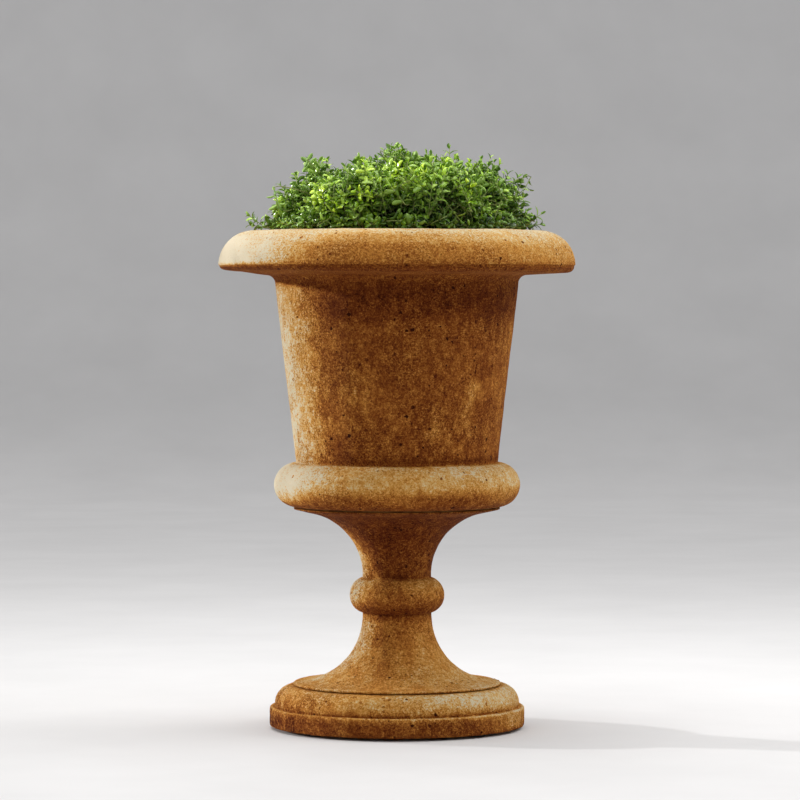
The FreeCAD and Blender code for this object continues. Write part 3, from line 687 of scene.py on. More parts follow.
# The pedestal's profile goes out along the foot, up the skirt, round the hollow cove to the neck, round the
# knop and up the second cove to the flange.
def makePedestal():
    shape = pedestalShape
    low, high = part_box("pedestal")
    base, top, bore = low.z, high.z, boreRadius
    neck, cove, upper = shape["neckRadius"], shape["lowerCove"], shape["upperCove"]
    coveFoot = neck + cove
    skirt = coveFoot + shape["bevelWidth"]
    skirtTop = base + shape["skirtEdge"]
    coveBase = skirtTop + shape["bevelHeight"]
    knopBase = coveBase + cove + shape["lowerNeck"]
    half, bulge = shape["knopHeight"] / 2, shape["knopBulge"]
    curve = (bulge ** 2 + half ** 2) / (2 * bulge)
    knopAngle = math.degrees(math.asin(half / curve))
    upperBase = knopBase + shape["knopHeight"] + shape["upperNeck"]
    reach = math.radians(shape["upperCoveAngle"])
    slopeFoot = (neck + upper * (1 - math.cos(reach)), upperBase + upper * math.sin(reach))
    flange = slopeFoot[0] + shape["flangeWidth"]
    flangeBase = top - shape["flangeEdge"]
    seat = top - shape["collarSeatDepth"]
    hole, seatRadius = dowelHoles["radius"], shape["collarSeatRadius"]
    # Each run's tones are partly the stone's colour and partly painted light: the low tones at the two necks,
    # in the upper cove and at the flange paint shade under the bowl and the knop, and the sun tones paint
    # sunlight.
    runs = [
        *drilledRuns(bore, skirt, base, hole),
        *straightRuns([(skirt, base), (skirt, skirtTop), (coveFoot, coveBase)],
                      (0.0009, 0.5, 0.60, 0.66), (0.0011, 0.6, 0.68, 0.72)),
        *arcRuns((coveFoot, coveBase + cove), cove, (270, 240, 205, 180),
                 (0.0036, 1, 0.58, 0.96), (0.0036, 1, 0.58, 0.80), (0.0036, 1, 0.52, 0.82)),
        straightRun((neck, coveBase + cove), (neck, knopBase), 0.0015, 0.6, 0.26, 0.45),
        *arcRuns((neck + bulge - curve, knopBase + half), curve, (-knopAngle, -15, 30, knopAngle),
                 (0.0028, 1, 0.39, 0.54), (0.0028, 1, 0.51, 0.90), (0.0028, 1, 0.55, 0.92)),
        straightRun((neck, knopBase + shape["knopHeight"]), (neck, upperBase), 0.001, 0.6, 0.24, 0.45),
        *arcRuns((neck + upper, upperBase), upper, (180, 150, 180 - shape["upperCoveAngle"]),
                 (0.0036, 1, 0.30, 0.82), (0.0036, 1, 0.26, 0.66)),
        *straightRuns([slopeFoot, (flange, flangeBase), (flange, top)],
                      (0.004, 1, 0.31, 0.46), (0.0011, 0.4, 0.30, 0.44)),
        *drilledRuns(flange, seatRadius, top, hole),
        *straightRuns([(seatRadius, top), (seatRadius, seat), (bore, seat), (bore, base)],
                      (0.0015, 0), (0.004, 0), (0.020, 0)),
    ]
    return turnStone(
        "stone_pedestal", runs, shape["columns"], 31, scuffs=shape["scuffs"], patches=shape["patches"],
        arrises=((skirt, skirtTop, 0.0022, 0.0009, 0.10), (skirt, base + 0.0002, 0.0026, 0.0020, -0.12),
                 (flange, flangeBase, 0.0020, 0.0008, 0.0)),
        holes=((hole, base, dowelHoles["depth"]), (hole, top, -dowelHoles["depth"])),
        overhangs=shape["overhangs"], mottle=((0, shape["mottle"]),))


plinthShape = {
    "slabHeight": 0.0285,
    "rounding": 0.0025,
    "shelfWidth": 0.0078,
    "shelfFillet": 0.001,
    "uprightHeight": 0.005,
    "ovolo": 0.026,
    "columns": 440,
    "mottle": 0.75,
    "scuffs": ((-52, 0.052, 16.0, 0.012, 0.8), (-20, 0.050, 14.0, 0.020, 0.7), (-24, 0.018, 12.0, 0.014, 0.8),
               (-100, 0.052, 30.0, 0.012, 0.35), (80, 0.050, 70.0, 0.016, 0.5)),
    # Tone patches: the lighter ones on the right of the ovolo and the slab, partly over the scuffs, paint
    # light, and the darker ones on the ovolo's left and the slab's front paint shade.
    "patches": (
        (-50, 0.055, 18.0, 0.014, 0.10), (-30, 0.050, 16.0, 0.016, 0.07), (-24, 0.018, 16.0, 0.014, 0.18),
        (0, 0.030, 16.0, 0.030, 0.10), (-125, 0.050, 18.0, 0.016, -0.05), (-90, 0.050, 30.0, 0.016, 0.04),
        (-110, 0.050, 10.0, 0.012, 0.05), (-70, 0.018, 20.0, 0.012, -0.04)),
}


# The plinth's profile goes out along the underside, up the slab with its rounded edges, over the shelf, up
# the short upright and round the ovolo to the bed of the pedestal.
def makePlinth():
    shape = plinthShape
    low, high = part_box("plinth")
    base, top, rim, bore = low.z, high.z, nodes["plinth"].dimensions.x / 2, boreRadius
    rounding, ovolo, fillet = shape["rounding"], shape["ovolo"], shape["shelfFillet"]
    slabTop = base + shape["slabHeight"]
    upright = rim - shape["shelfWidth"]
    uprightTop = slabTop + shape["uprightHeight"]
    ledge, edge, hole = upright - ovolo, rim - rounding, dowelHoles["radius"]
    # Each run's tones are partly the stone's colour and partly painted light; the low tone in the fillet at the
    # upright's foot paints shade in that crease.
    runs = [
        *straightRuns([(bore, base), (rim - 0.03, base), (edge, base)], (0.020, 0), (0.006, 0)),
        arcRun((edge, base + rounding), rounding, -90, 0, 0.0011, 0.6, 0.34, 0.32),
        straightRun((rim, base + rounding), (rim, slabTop - rounding), 0.0030, 1, 0.39, 0.27),
        arcRun((edge, slabTop - rounding), rounding, 0, 90, 0.0009, 0.8, 0.60, 0.50),
        straightRun((edge, slabTop), (upright + fillet, slabTop), 0.0016, 1, 0.66, 0.58),
        arcRun((upright + fillet, slabTop + fillet), fillet, -90, -180, 0.0007, 0.6, 0.26, 0.30),
        straightRun((upright, slabTop + fillet), (upright, uprightTop), 0.0012, 0.8, 0.40, 0.42),
        *arcRuns((ledge, uprightTop), ovolo, (0, 40, 90), (0.0028, 1, 0.66, 0.56), (0.0028, 1, 0.71, 0.66)),
        *drilledRuns(ledge, bore, top, hole),
        straightRun((bore, top), (bore, base), 0.015, 0),
    ]
    inset = rounding * 0.3
    return turnStone(
        "stone_plinth", runs, shape["columns"], 51, scuffs=shape["scuffs"], patches=shape["patches"],
        arrises=((rim - inset, slabTop - inset, 0.0030, 0.0015, 0.14),
                 (rim - inset, base + inset, 0.0030, 0.0012, 0.0)),
        holes=((hole, top, -dowelHoles["depth"]),), mottle=((0, shape["mottle"]),))


stone = makeStoneMaterial()
for piece, node, body in ((makePlinth(), "plinth", "stand"), (makePedestal(), "pedestal", "stand"),
                          (makeBowl(), "bowl", "bowl")):
    dress(piece, stone, body, node)


# Planting: shoots, leaves, twigs and soil

crownShape = {
    "ringDistance": 0.105,       # of a ring crown's middle from the axis
    "lift": 0.020,               # of every crown's middle over the rim
    "heartReach": 0.102,
    "shellSteps": (0.0165, 0.0180, 0.0220),   # between shoots, in each shell from the outside in
    "shellScales": (1.0, 0.87, 0.68),
    "swells": ((0.050, 0.008, 71), (0.022, 0.008, 72)),   # cell, reach and seed of the mound's unevenness
    "whipShare": 0.16,           # shoots that stand out of the rest, and how far
    "whipReach": (0.004, 0.013),
    "leftTrim": (0.020, 0.095, 0.165),   # how much lower the left flank is, and from where to where it falls
    "rightTrim": (0.010, 0.130, 0.180),
    "shootAbove": -0.0025,
    "shootScatter": 0.0055,
    "aimMix": (0.55, 0.45, 0.36),        # how much of a shoot's aim is outwards, upright and by chance
    "hollow": (1.0, 0.90, 0.35),  # share of the shoots that is missing in a hollow's middle, in each shell
    "hollowDepth": 0.012,
    "rimShoots": 170,            # that lie on the rim's flat, all round
    "rimJitter": 0.02,
    "rimReach": (0.172, 0.197),
    "rimLift": (0.004, 0.013),
    "rimAim": (0.9, 0.22, 0.28),
    "rimHollow": 0.8,
    "rimShade": (0.185, 0.755),  # radius and height at which the rim's shoots are looked up among the hollows
    "rimDepth": 0.3,
    "shootLength": (0.034, 0.054),
    "clearance": 0.004,          # of tips and twigs over the stone
    "lowShade": 0.40,            # how much painted shade darkens the lowest leaves, between these heights over the rim
    "lowShadeHeights": (0.006, 0.034),
    "seed": 7,
}
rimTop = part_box("bowl")[1].z
rimRadius = nodes["bowl"].dimensions.x / 2
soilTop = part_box("potting_soil")[1].z
ringCount = 6
heartRadius = 0.066
mouthRadius = 0.1555
mouthEdge = 0.148                # twigs farther out than this stay over the rim


# Middle and half sizes of each crown: the middle one first, then the ring. They reach as far as in the frame.
def crownForms():
    shape = crownShape
    level = rimTop + shape["lift"]
    ringTop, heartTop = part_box("shrub_1_foliage")[1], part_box("shrub_middle_foliage")[1]
    reach = ringTop.x - shape["ringDistance"]
    heart = shape["heartReach"]
    forms = [(np.array([0, 0, level]), np.array([heart, heart, heartTop.z - level]))]
    for index in range(ringCount):
        turn = 2 * math.pi * index / ringCount
        middle = np.array([math.cos(turn), math.sin(turn), 0]) * shape["ringDistance"] + [0, 0, level]
        forms.append((middle, np.array([reach, reach, ringTop.z - level])))
    return forms


# Height of the stone under a leaf: nothing inside the mouth, the flat rim outside it and the roll past its
# crest.
def stoneUnder(radius):
    crest = rimRadius - bowlShape["rimRoll"]
    over = np.clip(radius - crest, 0, bowlShape["rimRoll"])
    roll = rimTop - bowlShape["rimRoll"] + np.sqrt(bowlShape["rimRoll"] ** 2 - over ** 2)
    return np.where(radius < mouthRadius, soilTop + 0.004, roll)


# Points spread over the shared outside of the crowns, with their outward directions. Each crown gets the
# points of a golden spiral on its ellipsoid, thinned to an even density, less those inside another crown or
# in the stone.
def spreadTips(step, scale, random):
    points, normals = [], []
    forms = crownForms()
    for number, (middle, half) in enumerate(forms):
        half = half * scale
        count = int(4 * math.pi * half.max() ** 2 / step ** 2)
        rank = np.arange(count) + 0.5
        height = 1 - 2 * rank / count
        angle = rank * math.pi * (3 - math.sqrt(5))
        level = np.sqrt(1 - height ** 2)
        ball = np.stack([level * np.cos(angle), level * np.sin(angle), height], axis=-1)
        stretch = np.linalg.norm(ball / half, axis=-1) * half.prod()
        ball = ball[random.random(count) < stretch / half.max() ** 2]
        place = ball * half + middle
        free = place[:, 2] > rimTop + crownShape["clearance"]
        for other, (otherMiddle, otherHalf) in enumerate(forms):
            if other != number:
                inside = (place - otherMiddle) / (otherHalf * scale)
                free &= (inside ** 2).sum(axis=-1) > 1
        points.append(place[free])
        normals.append(unit(ball / half)[free])
    return np.concatenate(points), np.concatenate(normals)


# Sprigs that stand out of the mound's outline, as seen from the front: across, height, depth and lean.
sprigPlaces = np.array([
    (-0.218, 0.760, -0.020, -0.9), (-0.219, 0.748, 0.030, -1.1), (-0.176, 0.796, 0.010, -0.7),
    (-0.172, 0.806, -0.030, -0.6), (-0.152, 0.822, 0.000, -0.6), (-0.131, 0.846, 0.000, -0.25),
    (-0.124, 0.842, 0.030, -0.5), (-0.105, 0.843, 0.020, -0.1), (-0.113, 0.838, -0.030, 0.2),
    (-0.056, 0.845, -0.010, 0.0), (-0.048, 0.842, 0.030, -0.3), (-0.030, 0.846, 0.010, -0.3),
    (-0.036, 0.842, -0.030, 0.3), (0.002, 0.862, 0.000, 0.1), (-0.004, 0.857, -0.010, -0.5),
    (0.008, 0.858, 0.015, 0.5), (0.024, 0.851, 0.020, 0.5), (0.044, 0.847, -0.020, 0.1),
    (0.058, 0.848, 0.020, -0.4), (0.078, 0.862, 0.000, 0.0), (0.070, 0.850, 0.010, -0.3),
    (0.086, 0.848, -0.010, 0.4), (0.108, 0.842, 0.000, 0.1), (0.125, 0.846, 0.020, 0.1),
    (0.139, 0.848, -0.010, 0.3), (0.153, 0.838, 0.010, 0.6), (0.165, 0.823, 0.000, 0.4),
    (0.180, 0.819, 0.010, 0.5), (0.188, 0.818, 0.000, 0.4), (0.190, 0.789, -0.030, 1.0),
    (0.216, 0.764, 0.000, 0.9), (0.214, 0.748, 0.000, 1.3), (0.203, 0.745, -0.040, 1.3)])

# Young yellow-green growth and thin dark hollows on the mound's front: across, height and radius.
brightPlaces = np.array([
    (-0.004, 0.821, 0.015), (-0.049, 0.838, 0.008), (-0.049, 0.807, 0.010), (-0.110, 0.792, 0.011),
    (-0.064, 0.792, 0.010), (-0.184, 0.783, 0.009), (0.002, 0.805, 0.013), (0.033, 0.821, 0.014),
    (0.068, 0.832, 0.014), (0.104, 0.801, 0.013), (0.108, 0.841, 0.007), (-0.088, 0.776, 0.010),
    (-0.034, 0.790, 0.009)])
hollowPlaces = np.array([
    (-0.030, 0.766, 0.022), (-0.004, 0.759, 0.022), (0.056, 0.775, 0.030), (0.092, 0.764, 0.026),
    (0.124, 0.772, 0.016), (-0.060, 0.757, 0.014), (0.028, 0.786, 0.013), (-0.090, 0.829, 0.014),
    (0.034, 0.846, 0.012), (0.098, 0.846, 0.010), (0.078, 0.792, 0.018), (0.142, 0.786, 0.014)])


# Dips between the clumps along the mound's outline: across, height, radius and depth.
dipPlaces = np.array([
    (-0.030, 0.852, 0.016, 0.020), (0.014, 0.855, 0.010, 0.010), (0.036, 0.850, 0.012, 0.008),
    (-0.092, 0.838, 0.012, 0.014), (-0.066, 0.842, 0.014, 0.012), (-0.113, 0.836, 0.008, 0.006),
    (0.100, 0.845, 0.012, 0.005)])


# How near each spot lies to a marked place, as seen from the front: a bell over the place's radius.
def bell(spots, across, height, reach):
    return np.exp(-((spots[:, 0] - across) ** 2 + (spots[:, 2] - height) ** 2) / reach ** 2)


# The nearest of several marked places, on the mound's front only.
def frontShare(spots, places):
    return np.max([bell(spots, *place) for place in places], axis=0) * (spots[:, 1] < 0.03)


# Every shoot has a tip, a foot and the number of its shrub. Shoots grow outwards and up, those on top
# nearly upright and those at the flanks leaning out. A shoot's foot lies behind its tip by its length, and
# never in the rim.
def growShoots():
    shape = crownShape
    random = np.random.default_rng(shape["seed"])
    upright = np.array([0, 0, 1.0])
    tips, aims, depth = [], [], []
    outwardShare, uprightShare, chance = shape["aimMix"]
    for shell, (step, scale) in enumerate(zip(shape["shellSteps"], shape["shellScales"])):
        spots, normals = spreadTips(step, scale, random)
        count = len(spots)
        swell = sum(latticeNoise(spots, cell, seed) * reach for cell, reach, seed in shape["swells"])
        whips = (random.random(count) < shape["whipShare"]) * random.uniform(*shape["whipReach"], count)
        trim = sum(drop * smoothRise(side * spots[:, 0], start, end)
                   for side, (drop, start, end) in ((-1, shape["leftTrim"]), (1, shape["rightTrim"])))
        push = shape["shootAbove"] + swell + whips - trim + random.normal(0, shape["shootScatter"], count)
        aim = unit(normals * outwardShare + upright * uprightShare + random.normal(0, chance, (count, 3)))
        hollow = frontShare(spots, hollowPlaces)
        kept = random.random(count) > shape["hollow"][shell] * hollow
        push -= shape["hollowDepth"] * hollow
        for across, height, reach, drop in dipPlaces:
            push -= drop * bell(spots, across, height, reach)
        tips.append((spots + normals * push[:, None])[kept])
        aims.append(aim[kept])
        depth.append(np.full(int(kept.sum()), shell / 2))
        print(int(kept.sum()), "shoots in shell", shell)
    count = shape["rimShoots"]
    bearings = np.arange(count) * 2 * math.pi / count + random.normal(0, shape["rimJitter"], count)
    outwards = np.stack([np.cos(bearings), np.sin(bearings), 0 * bearings], axis=-1)
    dark = frontShare(outwards * shape["rimShade"][0] + upright * shape["rimShade"][1], hollowPlaces)
    outwards = outwards[random.random(count) > shape["rimHollow"] * dark]
    count = len(outwards)
    reach = random.uniform(*shape["rimReach"], count)
    height = rimTop + random.uniform(*shape["rimLift"], count)
    tips.append(outwards * reach[:, None] + upright * height[:, None])
    outwardShare, uprightShare, chance = shape["rimAim"]
    aims.append(unit(outwards * outwardShare + upright * uprightShare + random.normal(0, chance, (count, 3))))
    depth.append(np.full(count, shape["rimDepth"]))
    sprigTips = sprigPlaces[:, [0, 2, 1]]
    count = len(sprigTips)
    sprigLean = np.stack([sprigPlaces[:, 3], random.normal(0, 0.2, count), np.ones(count)], axis=-1)
    tips, aims = np.concatenate(tips + [sprigTips]), np.concatenate(aims + [unit(sprigLean)])
    depth = np.concatenate(depth + [np.zeros(count)])
    lengths = random.uniform(*shape["shootLength"], len(tips))
    feet = tips - aims * lengths[:, None]
    overRim = np.hypot(feet[:, 0], feet[:, 1]) > mouthEdge
    feet[:, 2] = np.maximum(feet[:, 2], np.where(overRim, rimTop + shape["clearance"], soilTop + 0.012))
    tips[:, 2] = np.maximum(tips[:, 2], stoneUnder(np.hypot(tips[:, 0], tips[:, 1])) + 0.003)
    low = 1 - smoothRise(tips[:, 2], *(rimTop + np.array(shape["lowShadeHeights"])))
    depth = np.minimum(1, depth + shape["lowShade"] * low)
    sector = np.round(np.arctan2(feet[:, 1], feet[:, 0]) / (2 * math.pi / ringCount)).astype(int) % ringCount
    shrub = np.where(np.hypot(feet[:, 0], feet[:, 1]) < heartRadius, 0, sector + 1)
    return tips, feet, depth, shrub


leafShape = {
    "length": 0.0172,
    "width": 0.46,               # of the length
    "thickness": 0.020,
    "fold": 0.26,                # how far the edges rise, of the half width
    "arch": 0.10,                # how far the blade rises in its middle and falls at its tip
    "stations": (0.22, 0.56, 0.84),
    "widths": (0.70, 1.00, 0.76),
    "pairs": 5,
    "firstPair": 0.12,           # place of the lowest pair along the shoot
    "lastPair": 0.93,
    "opening": ((0, 0.7, 1), (78, 66, 36)),                     # degrees, by the place along the shoot
    "sizes": ((0, 0.55, 0.85, 1), (0.80, 1.0, 0.92, 0.62)),     # of the length, in the same way
    "turnScatter": 0.14,
    "openingScatter": 0.16,
    "twist": 0.35,
    "leafScatter": (0.78, 1.12),
    "shootScatter": (0.85, 1.1),
    "slimness": (0.82, 1.12),
    "clearance": 0.0012,         # over the stone
}
leafAge = {
    "least": 0.10,
    "tip": 0.16,                 # how much younger a leaf is at the tip, and on a young shoot
    "shoot": 0.42,
    "patch": 1.15,               # and in a patch of young growth, of which this share comes with the tip
    "patchTip": 0.55,
    "scatter": 0.07,
    "shade": 0.28,
}
# The sunny-side term paints sunlight on the mound's left, and the shade term paints shade on deep and low
# leaves.
leafTone = {"mean": 0.60, "scatter": 0.25, "patch": 0.30, "paintedSunnySide": -0.75, "shade": 0.42}


# One leaf as a closed lens along X: a point at each end, and at each station the two edges, the upper
# midrib and the lower midrib. The upper face folds up from the midrib and the blade bends down towards its
# tip.
def leafTemplate():
    shape = leafShape
    along, half = np.array(shape["stations"]), np.array(shape["widths"]) * shape["width"] / 2
    count, flat = len(along), 0 * half
    thick = shape["thickness"] * np.ones(count)
    rise = half * shape["fold"]
    sections = ((half, rise), (flat, thick), (-half, rise), (flat, -thick * 0.5))
    rings = np.stack([np.stack([along, side, height], axis=-1) for side, height in sections], axis=1)
    points = np.concatenate([rings.reshape(-1, 3), [[0, 0, 0], [1, 0, 0]]])
    points[:, 2] += shape["arch"] * (np.sin(math.pi * points[:, 0]) - points[:, 0] ** 2)
    foot = 4 * count
    ends = np.concatenate([poleFaces(foot, 0, 4, False), poleFaces(foot + 1, foot - 4, 4)])
    under = np.tile([0.5, 0.0, 0.5, 1.0], count).tolist() + [0.5, 0.5]
    across = np.tile([1.0, 0.0, 1.0, 0.0], count).tolist() + [0.0, 0.3]
    return points, gridFaces(count, 4), ends, np.array(under), np.array(across)


# Leaves stand in pairs along each shoot, every pair turned a quarter from the one below. They open wide at
# the foot and close round the tip, where they are smaller and younger.
def growLeaves(tips, feet, depth, shrub):
    random = np.random.default_rng(crownShape["seed"] + 1)
    shape, age, light = leafShape, leafAge, leafTone
    count, pairs = len(tips), shape["pairs"]
    every = (count, pairs, 2)
    aims = unit(tips - feet)
    side = unit(np.cross(aims, unit(random.normal(0, 1, (count, 3)))))
    other = np.cross(aims, side)
    step = np.linspace(shape["firstPair"], 1.0, pairs)
    turns = random.uniform(0, math.pi, count)[:, None] + np.arange(pairs) * math.pi / 2
    turns = turns[:, :, None] + np.array([0, math.pi]) + random.normal(0, shape["turnScatter"], every)
    turns = turns[..., None]
    opening = np.radians(np.interp(step, *shape["opening"]))[None, :, None]
    opening = (opening + random.normal(0, shape["openingScatter"], every))[..., None]
    sideways = side[:, None, None] * np.cos(turns) + other[:, None, None] * np.sin(turns)
    stem = aims[:, None, None]
    along = np.cos(opening) * stem + np.sin(opening) * sideways
    facing = np.sin(opening) * stem - np.cos(opening) * sideways
    twist = random.normal(0, shape["twist"], every)[..., None]
    facing = np.cos(twist) * facing + np.sin(twist) * np.cross(facing, along)
    breadth = np.cross(facing, along)
    places = feet[:, None, None] + (tips - feet)[:, None, None] * step[None, :, None, None] * shape["lastPair"]
    size = shape["length"] * np.interp(step, *shape["sizes"])[None, :, None]
    size = size * random.uniform(*shape["leafScatter"], every)
    size = size * random.uniform(*shape["shootScatter"], (count, 1, 1))
    slim = random.uniform(*shape["slimness"], (*every, 1, 1))
    points, faces, ends, under, across = leafTemplate()
    blade = (along[..., None, :] * points[:, 0, None]
             + breadth[..., None, :] * points[:, 1, None] * slim
             + facing[..., None, :] * points[:, 2, None]) * size[..., None, None]
    leaves = (places[..., None, :] + blade).reshape(count * pairs * 2, len(points), 3)
    tipness = np.broadcast_to(step[None, :, None] ** 2, every)
    shootYouth = random.random((count, 1, 1)) ** 1.5
    patch = frontShare(tips, brightPlaces)[:, None, None]
    # Painted shade: leaves on the inner shells, on the rim's shoots and low over the rim are darker and less
    # young.
    shade = depth[:, None, None]
    fresh = age["patch"] * patch * (1 - age["patchTip"] + age["patchTip"] * tipness)
    youth = age["least"] + age["tip"] * tipness + age["shoot"] * shootYouth * tipness + fresh
    youth = np.clip(youth + random.normal(0, age["scatter"], every) - age["shade"] * shade, 0, 1)
    # Painted sunlight: leaves are lighter towards the left, where the key light stands.
    paintedSunnySide = light["paintedSunnySide"] * tips[:, 0][:, None, None]
    tone = random.normal(light["mean"], light["scatter"], every) + light["patch"] * patch + paintedSunnySide
    tone = np.clip(tone - light["shade"] * shade, 0, 1)
    owner = np.broadcast_to(shrub[:, None, None], every).ravel()
    centre = leaves.mean(axis=1)
    clear = centre[:, 2] > stoneUnder(np.hypot(centre[:, 0], centre[:, 1])) + 0.0005
    leaves, owner = leaves[clear], owner[clear]
    youth, tone = youth.ravel()[clear], tone.ravel()[clear]
    floor = stoneUnder(np.hypot(leaves[..., 0], leaves[..., 1])) + shape["clearance"]
    leaves[..., 2] = np.maximum(leaves[..., 2], floor)
    return leaves, owner, youth, tone, faces, ends, under, across


# One shrub's leaves as one piece: the template's faces again for every leaf.
def leafPiece(name, leaves, youth, tone, faces, ends, under, across):
    count, corners = leaves.shape[:2]
    shift = (np.arange(count) * corners)[:, None, None]
    blocks = [(faces + shift).reshape(-1, 4), (ends + shift).reshape(-1, 3)]
    return makePiece(name, leaves.reshape(-1, 3), blocks, {
        "youth": np.repeat(youth, corners), "tone": np.repeat(tone, corners),
        "under": np.tile(under, count), "across": np.tile(across, count)})


leafLook = {
    "old": ((0.0, (0.009, 0.036, 0.004)), (0.5, (0.130, 0.268, 0.017)), (1.0, (0.380, 0.600, 0.120))),
    "young": ((0.0, (0.150, 0.340, 0.006)), (0.5, (0.360, 0.640, 0.012)), (1.0, (0.620, 0.860, 0.035))),
    "midrib": (0.22, 0.34, 0.06),
    "underside": (0.170, 0.310, 0.060),
    "underRange": (0.52, 0.75),
    "underShare": 0.6,
    "roughness": 0.24,
    "underRoughness": 0.62,
    "specular": 0.50,
}


# Leaf colour goes from old blue-green to young yellow-green by the leaf's youth, lighter or darker by its own
# tone, paler along the midrib and duller underneath.
def makeLeafMaterial():
    look = leafLook
    paint = Paint("glossy_small_leaf", look["roughness"], look["specular"])
    tone = paint.attribute("tone") + (paint.noise(260, detail=2) - 0.5) * 0.5
    colour = tone.ramp(look["old"]).mix(tone.ramp(look["young"]), paint.attribute("youth"))
    colour = colour.mix(look["midrib"], paint.attribute("across").spread(0.02, 0.16, 0.35, 0))
    under = paint.attribute("under")
    paint.show(colour.mix(look["underside"], under.spread(*look["underRange"], 0, look["underShare"])))
    paint.show(under.spread(*look["underRange"], look["roughness"], look["underRoughness"]), "Roughness")
    paint.bump(paint.noise(900, detail=2), 0.0002, 0.5)
    return paint.material


branchShape = {
    "trunkRadius": 0.0038,
    "forkRadius": 0.0026,
    "tipRadius": 0.0011,
    "trunkHeight": 0.034,
    "forkDrop": 0.0024,
    "branches": 4,
    "tilt": 30,
    "length": 0.062,
    "leaderLength": 0.074,
    "ringRadius": 0.100,
    "twigFoot": 0.0011,
    "twigTip": 0.00062,
    "twigStart": (0.35, 0.98),   # where twigs leave a limb, as shares of its length
    "twigBend": (0.22, 0.12),    # arms of the curve at the limb and at the foot, as shares of the gap
    "twigSides": 3,
    "curveStations": 6,
    "shootStations": (0.34, 0.96, 3),
    "limbStations": 8,
    "limbSides": 8,
    "wobble": 0.0012,
    "wobbleCell": 0.02,
    "rimClearance": 0.002,
    "soilClearance": 0.01,
}


# Limbs of one shrub: the leader straight up and four branches that lean out, as in the frame.
def limbLines(index):
    shape = branchShape
    turn = 2 * math.pi * (index - 1) / ringCount
    distance = shape["ringRadius"] if index else 0
    height = soilTop + shape["trunkHeight"] - shape["forkDrop"]
    fork = np.array([distance * math.cos(turn), distance * math.sin(turn), height])
    tilt = math.radians(shape["tilt"])
    aims = [np.array([0, 0, 1.0])]
    for k in range(shape["branches"]):
        angle = (turn if index else 0) + 2 * math.pi * (k + 1) / shape["branches"]
        aims.append(np.array([math.cos(angle) * math.sin(tilt), math.sin(angle) * math.sin(tilt),
                              math.cos(tilt)]))
    lengths = np.array([shape["leaderLength"]] + [shape["length"]] * shape["branches"])
    return fork, np.array(aims), lengths


# Twigs leave a limb and curve out to their shoot: a cubic curve from the limb to the shoot's foot, then on
# to the tip, thinning all the way. The trunk and limbs are thicker tubes of the same kind.
def twigPiece(name, index, tips, feet):
    random = np.random.default_rng(100 + index)
    shape = branchShape
    fork, aims, lengths = limbLines(index)
    ends = fork + aims * lengths[:, None]
    nearest = np.argmin(np.linalg.norm(feet[:, None] - ends[None], axis=-1), axis=1)
    share = random.uniform(*shape["twigStart"], len(feet))[:, None]
    start = fork + aims[nearest] * lengths[nearest][:, None] * share
    gap = np.linalg.norm(feet - start, axis=1, keepdims=True)
    startArm, footArm = shape["twigBend"]
    first, second = start + aims[nearest] * gap * startArm, feet - unit(tips - feet) * gap * footArm
    overRim = np.hypot(second[:, 0], second[:, 1]) > mouthEdge
    lowest = np.where(overRim, rimTop + shape["rimClearance"], soilTop + shape["soilClearance"])
    second[:, 2] = np.maximum(second[:, 2], lowest)
    t = np.linspace(0, 1, shape["curveStations"])[None, :, None]
    curve = ((1 - t) ** 3 * start[:, None] + 3 * (1 - t) ** 2 * t * first[:, None]
             + 3 * (1 - t) * t ** 2 * second[:, None] + t ** 3 * feet[:, None])
    outer = feet[:, None] + (tips - feet)[:, None] * np.linspace(*shape["shootStations"])[None, :, None]
    paths = np.concatenate([curve, outer], axis=1)
    stations, sides = paths.shape[1], shape["twigSides"]
    radii = np.linspace(shape["twigFoot"], shape["twigTip"], stations)
    points, quads, caps = tubeMesh(paths, np.tile(radii, (len(paths), 1)), sides)
    t = np.linspace(0, 1, shape["limbStations"])[None, :, None]
    limbs = fork + aims[:, None] * lengths[:, None, None] * t
    foot = np.array([fork[0], fork[1], soilTop])
    trunk = (foot + (fork + [0, 0, 0.004] - foot) * t[0])[None]
    thick = np.concatenate([limbs, trunk])
    flat = thick.reshape(-1, 3)
    wobble = np.stack([latticeNoise(flat, shape["wobbleCell"], 90 + k) for k in range(3)], axis=-1)
    thick = thick + wobble.reshape(thick.shape) * np.array([shape["wobble"], shape["wobble"], 0]) * t
    limbRadii = np.linspace(shape["forkRadius"], shape["tipRadius"], shape["limbStations"])
    trunkRadii = np.linspace(shape["trunkRadius"], shape["forkRadius"] * 1.2, shape["limbStations"])
    thickRadii = np.concatenate([np.tile(limbRadii, (len(limbs), 1)), trunkRadii[None]])
    morePoints, moreQuads, moreCaps = tubeMesh(thick, thickRadii, shape["limbSides"])
    age = np.tile(np.repeat(np.linspace(0.4, 1, stations), sides).tolist() + [0.4, 1.0], len(paths))
    shift = len(points)
    return makePiece(name, np.concatenate([points, morePoints]),
                     [np.concatenate([quads, moreQuads + shift]), np.concatenate([caps, moreCaps + shift])],
                     {"green": np.concatenate([age, np.zeros(len(morePoints))])})


# Bark goes from grey-brown on old wood to pale green on new twigs, with fine upright cracks.
def makeBarkMaterial():
    paint = Paint("shrub_bark", 0.7, 0.3)
    grain = paint.noise(900, 0.25, 3)
    wood = grain.ramp(((0.3, (0.070, 0.045, 0.024)), (0.7, (0.210, 0.150, 0.085))))
    twig = grain.ramp(((0.3, (0.210, 0.290, 0.070)), (0.7, (0.400, 0.480, 0.150))))
    paint.show(wood.mix(twig, paint.attribute("green").spread(0.35, 0.9)))
    paint.bump(grain, 0.0004, 0.6)
    return paint.material


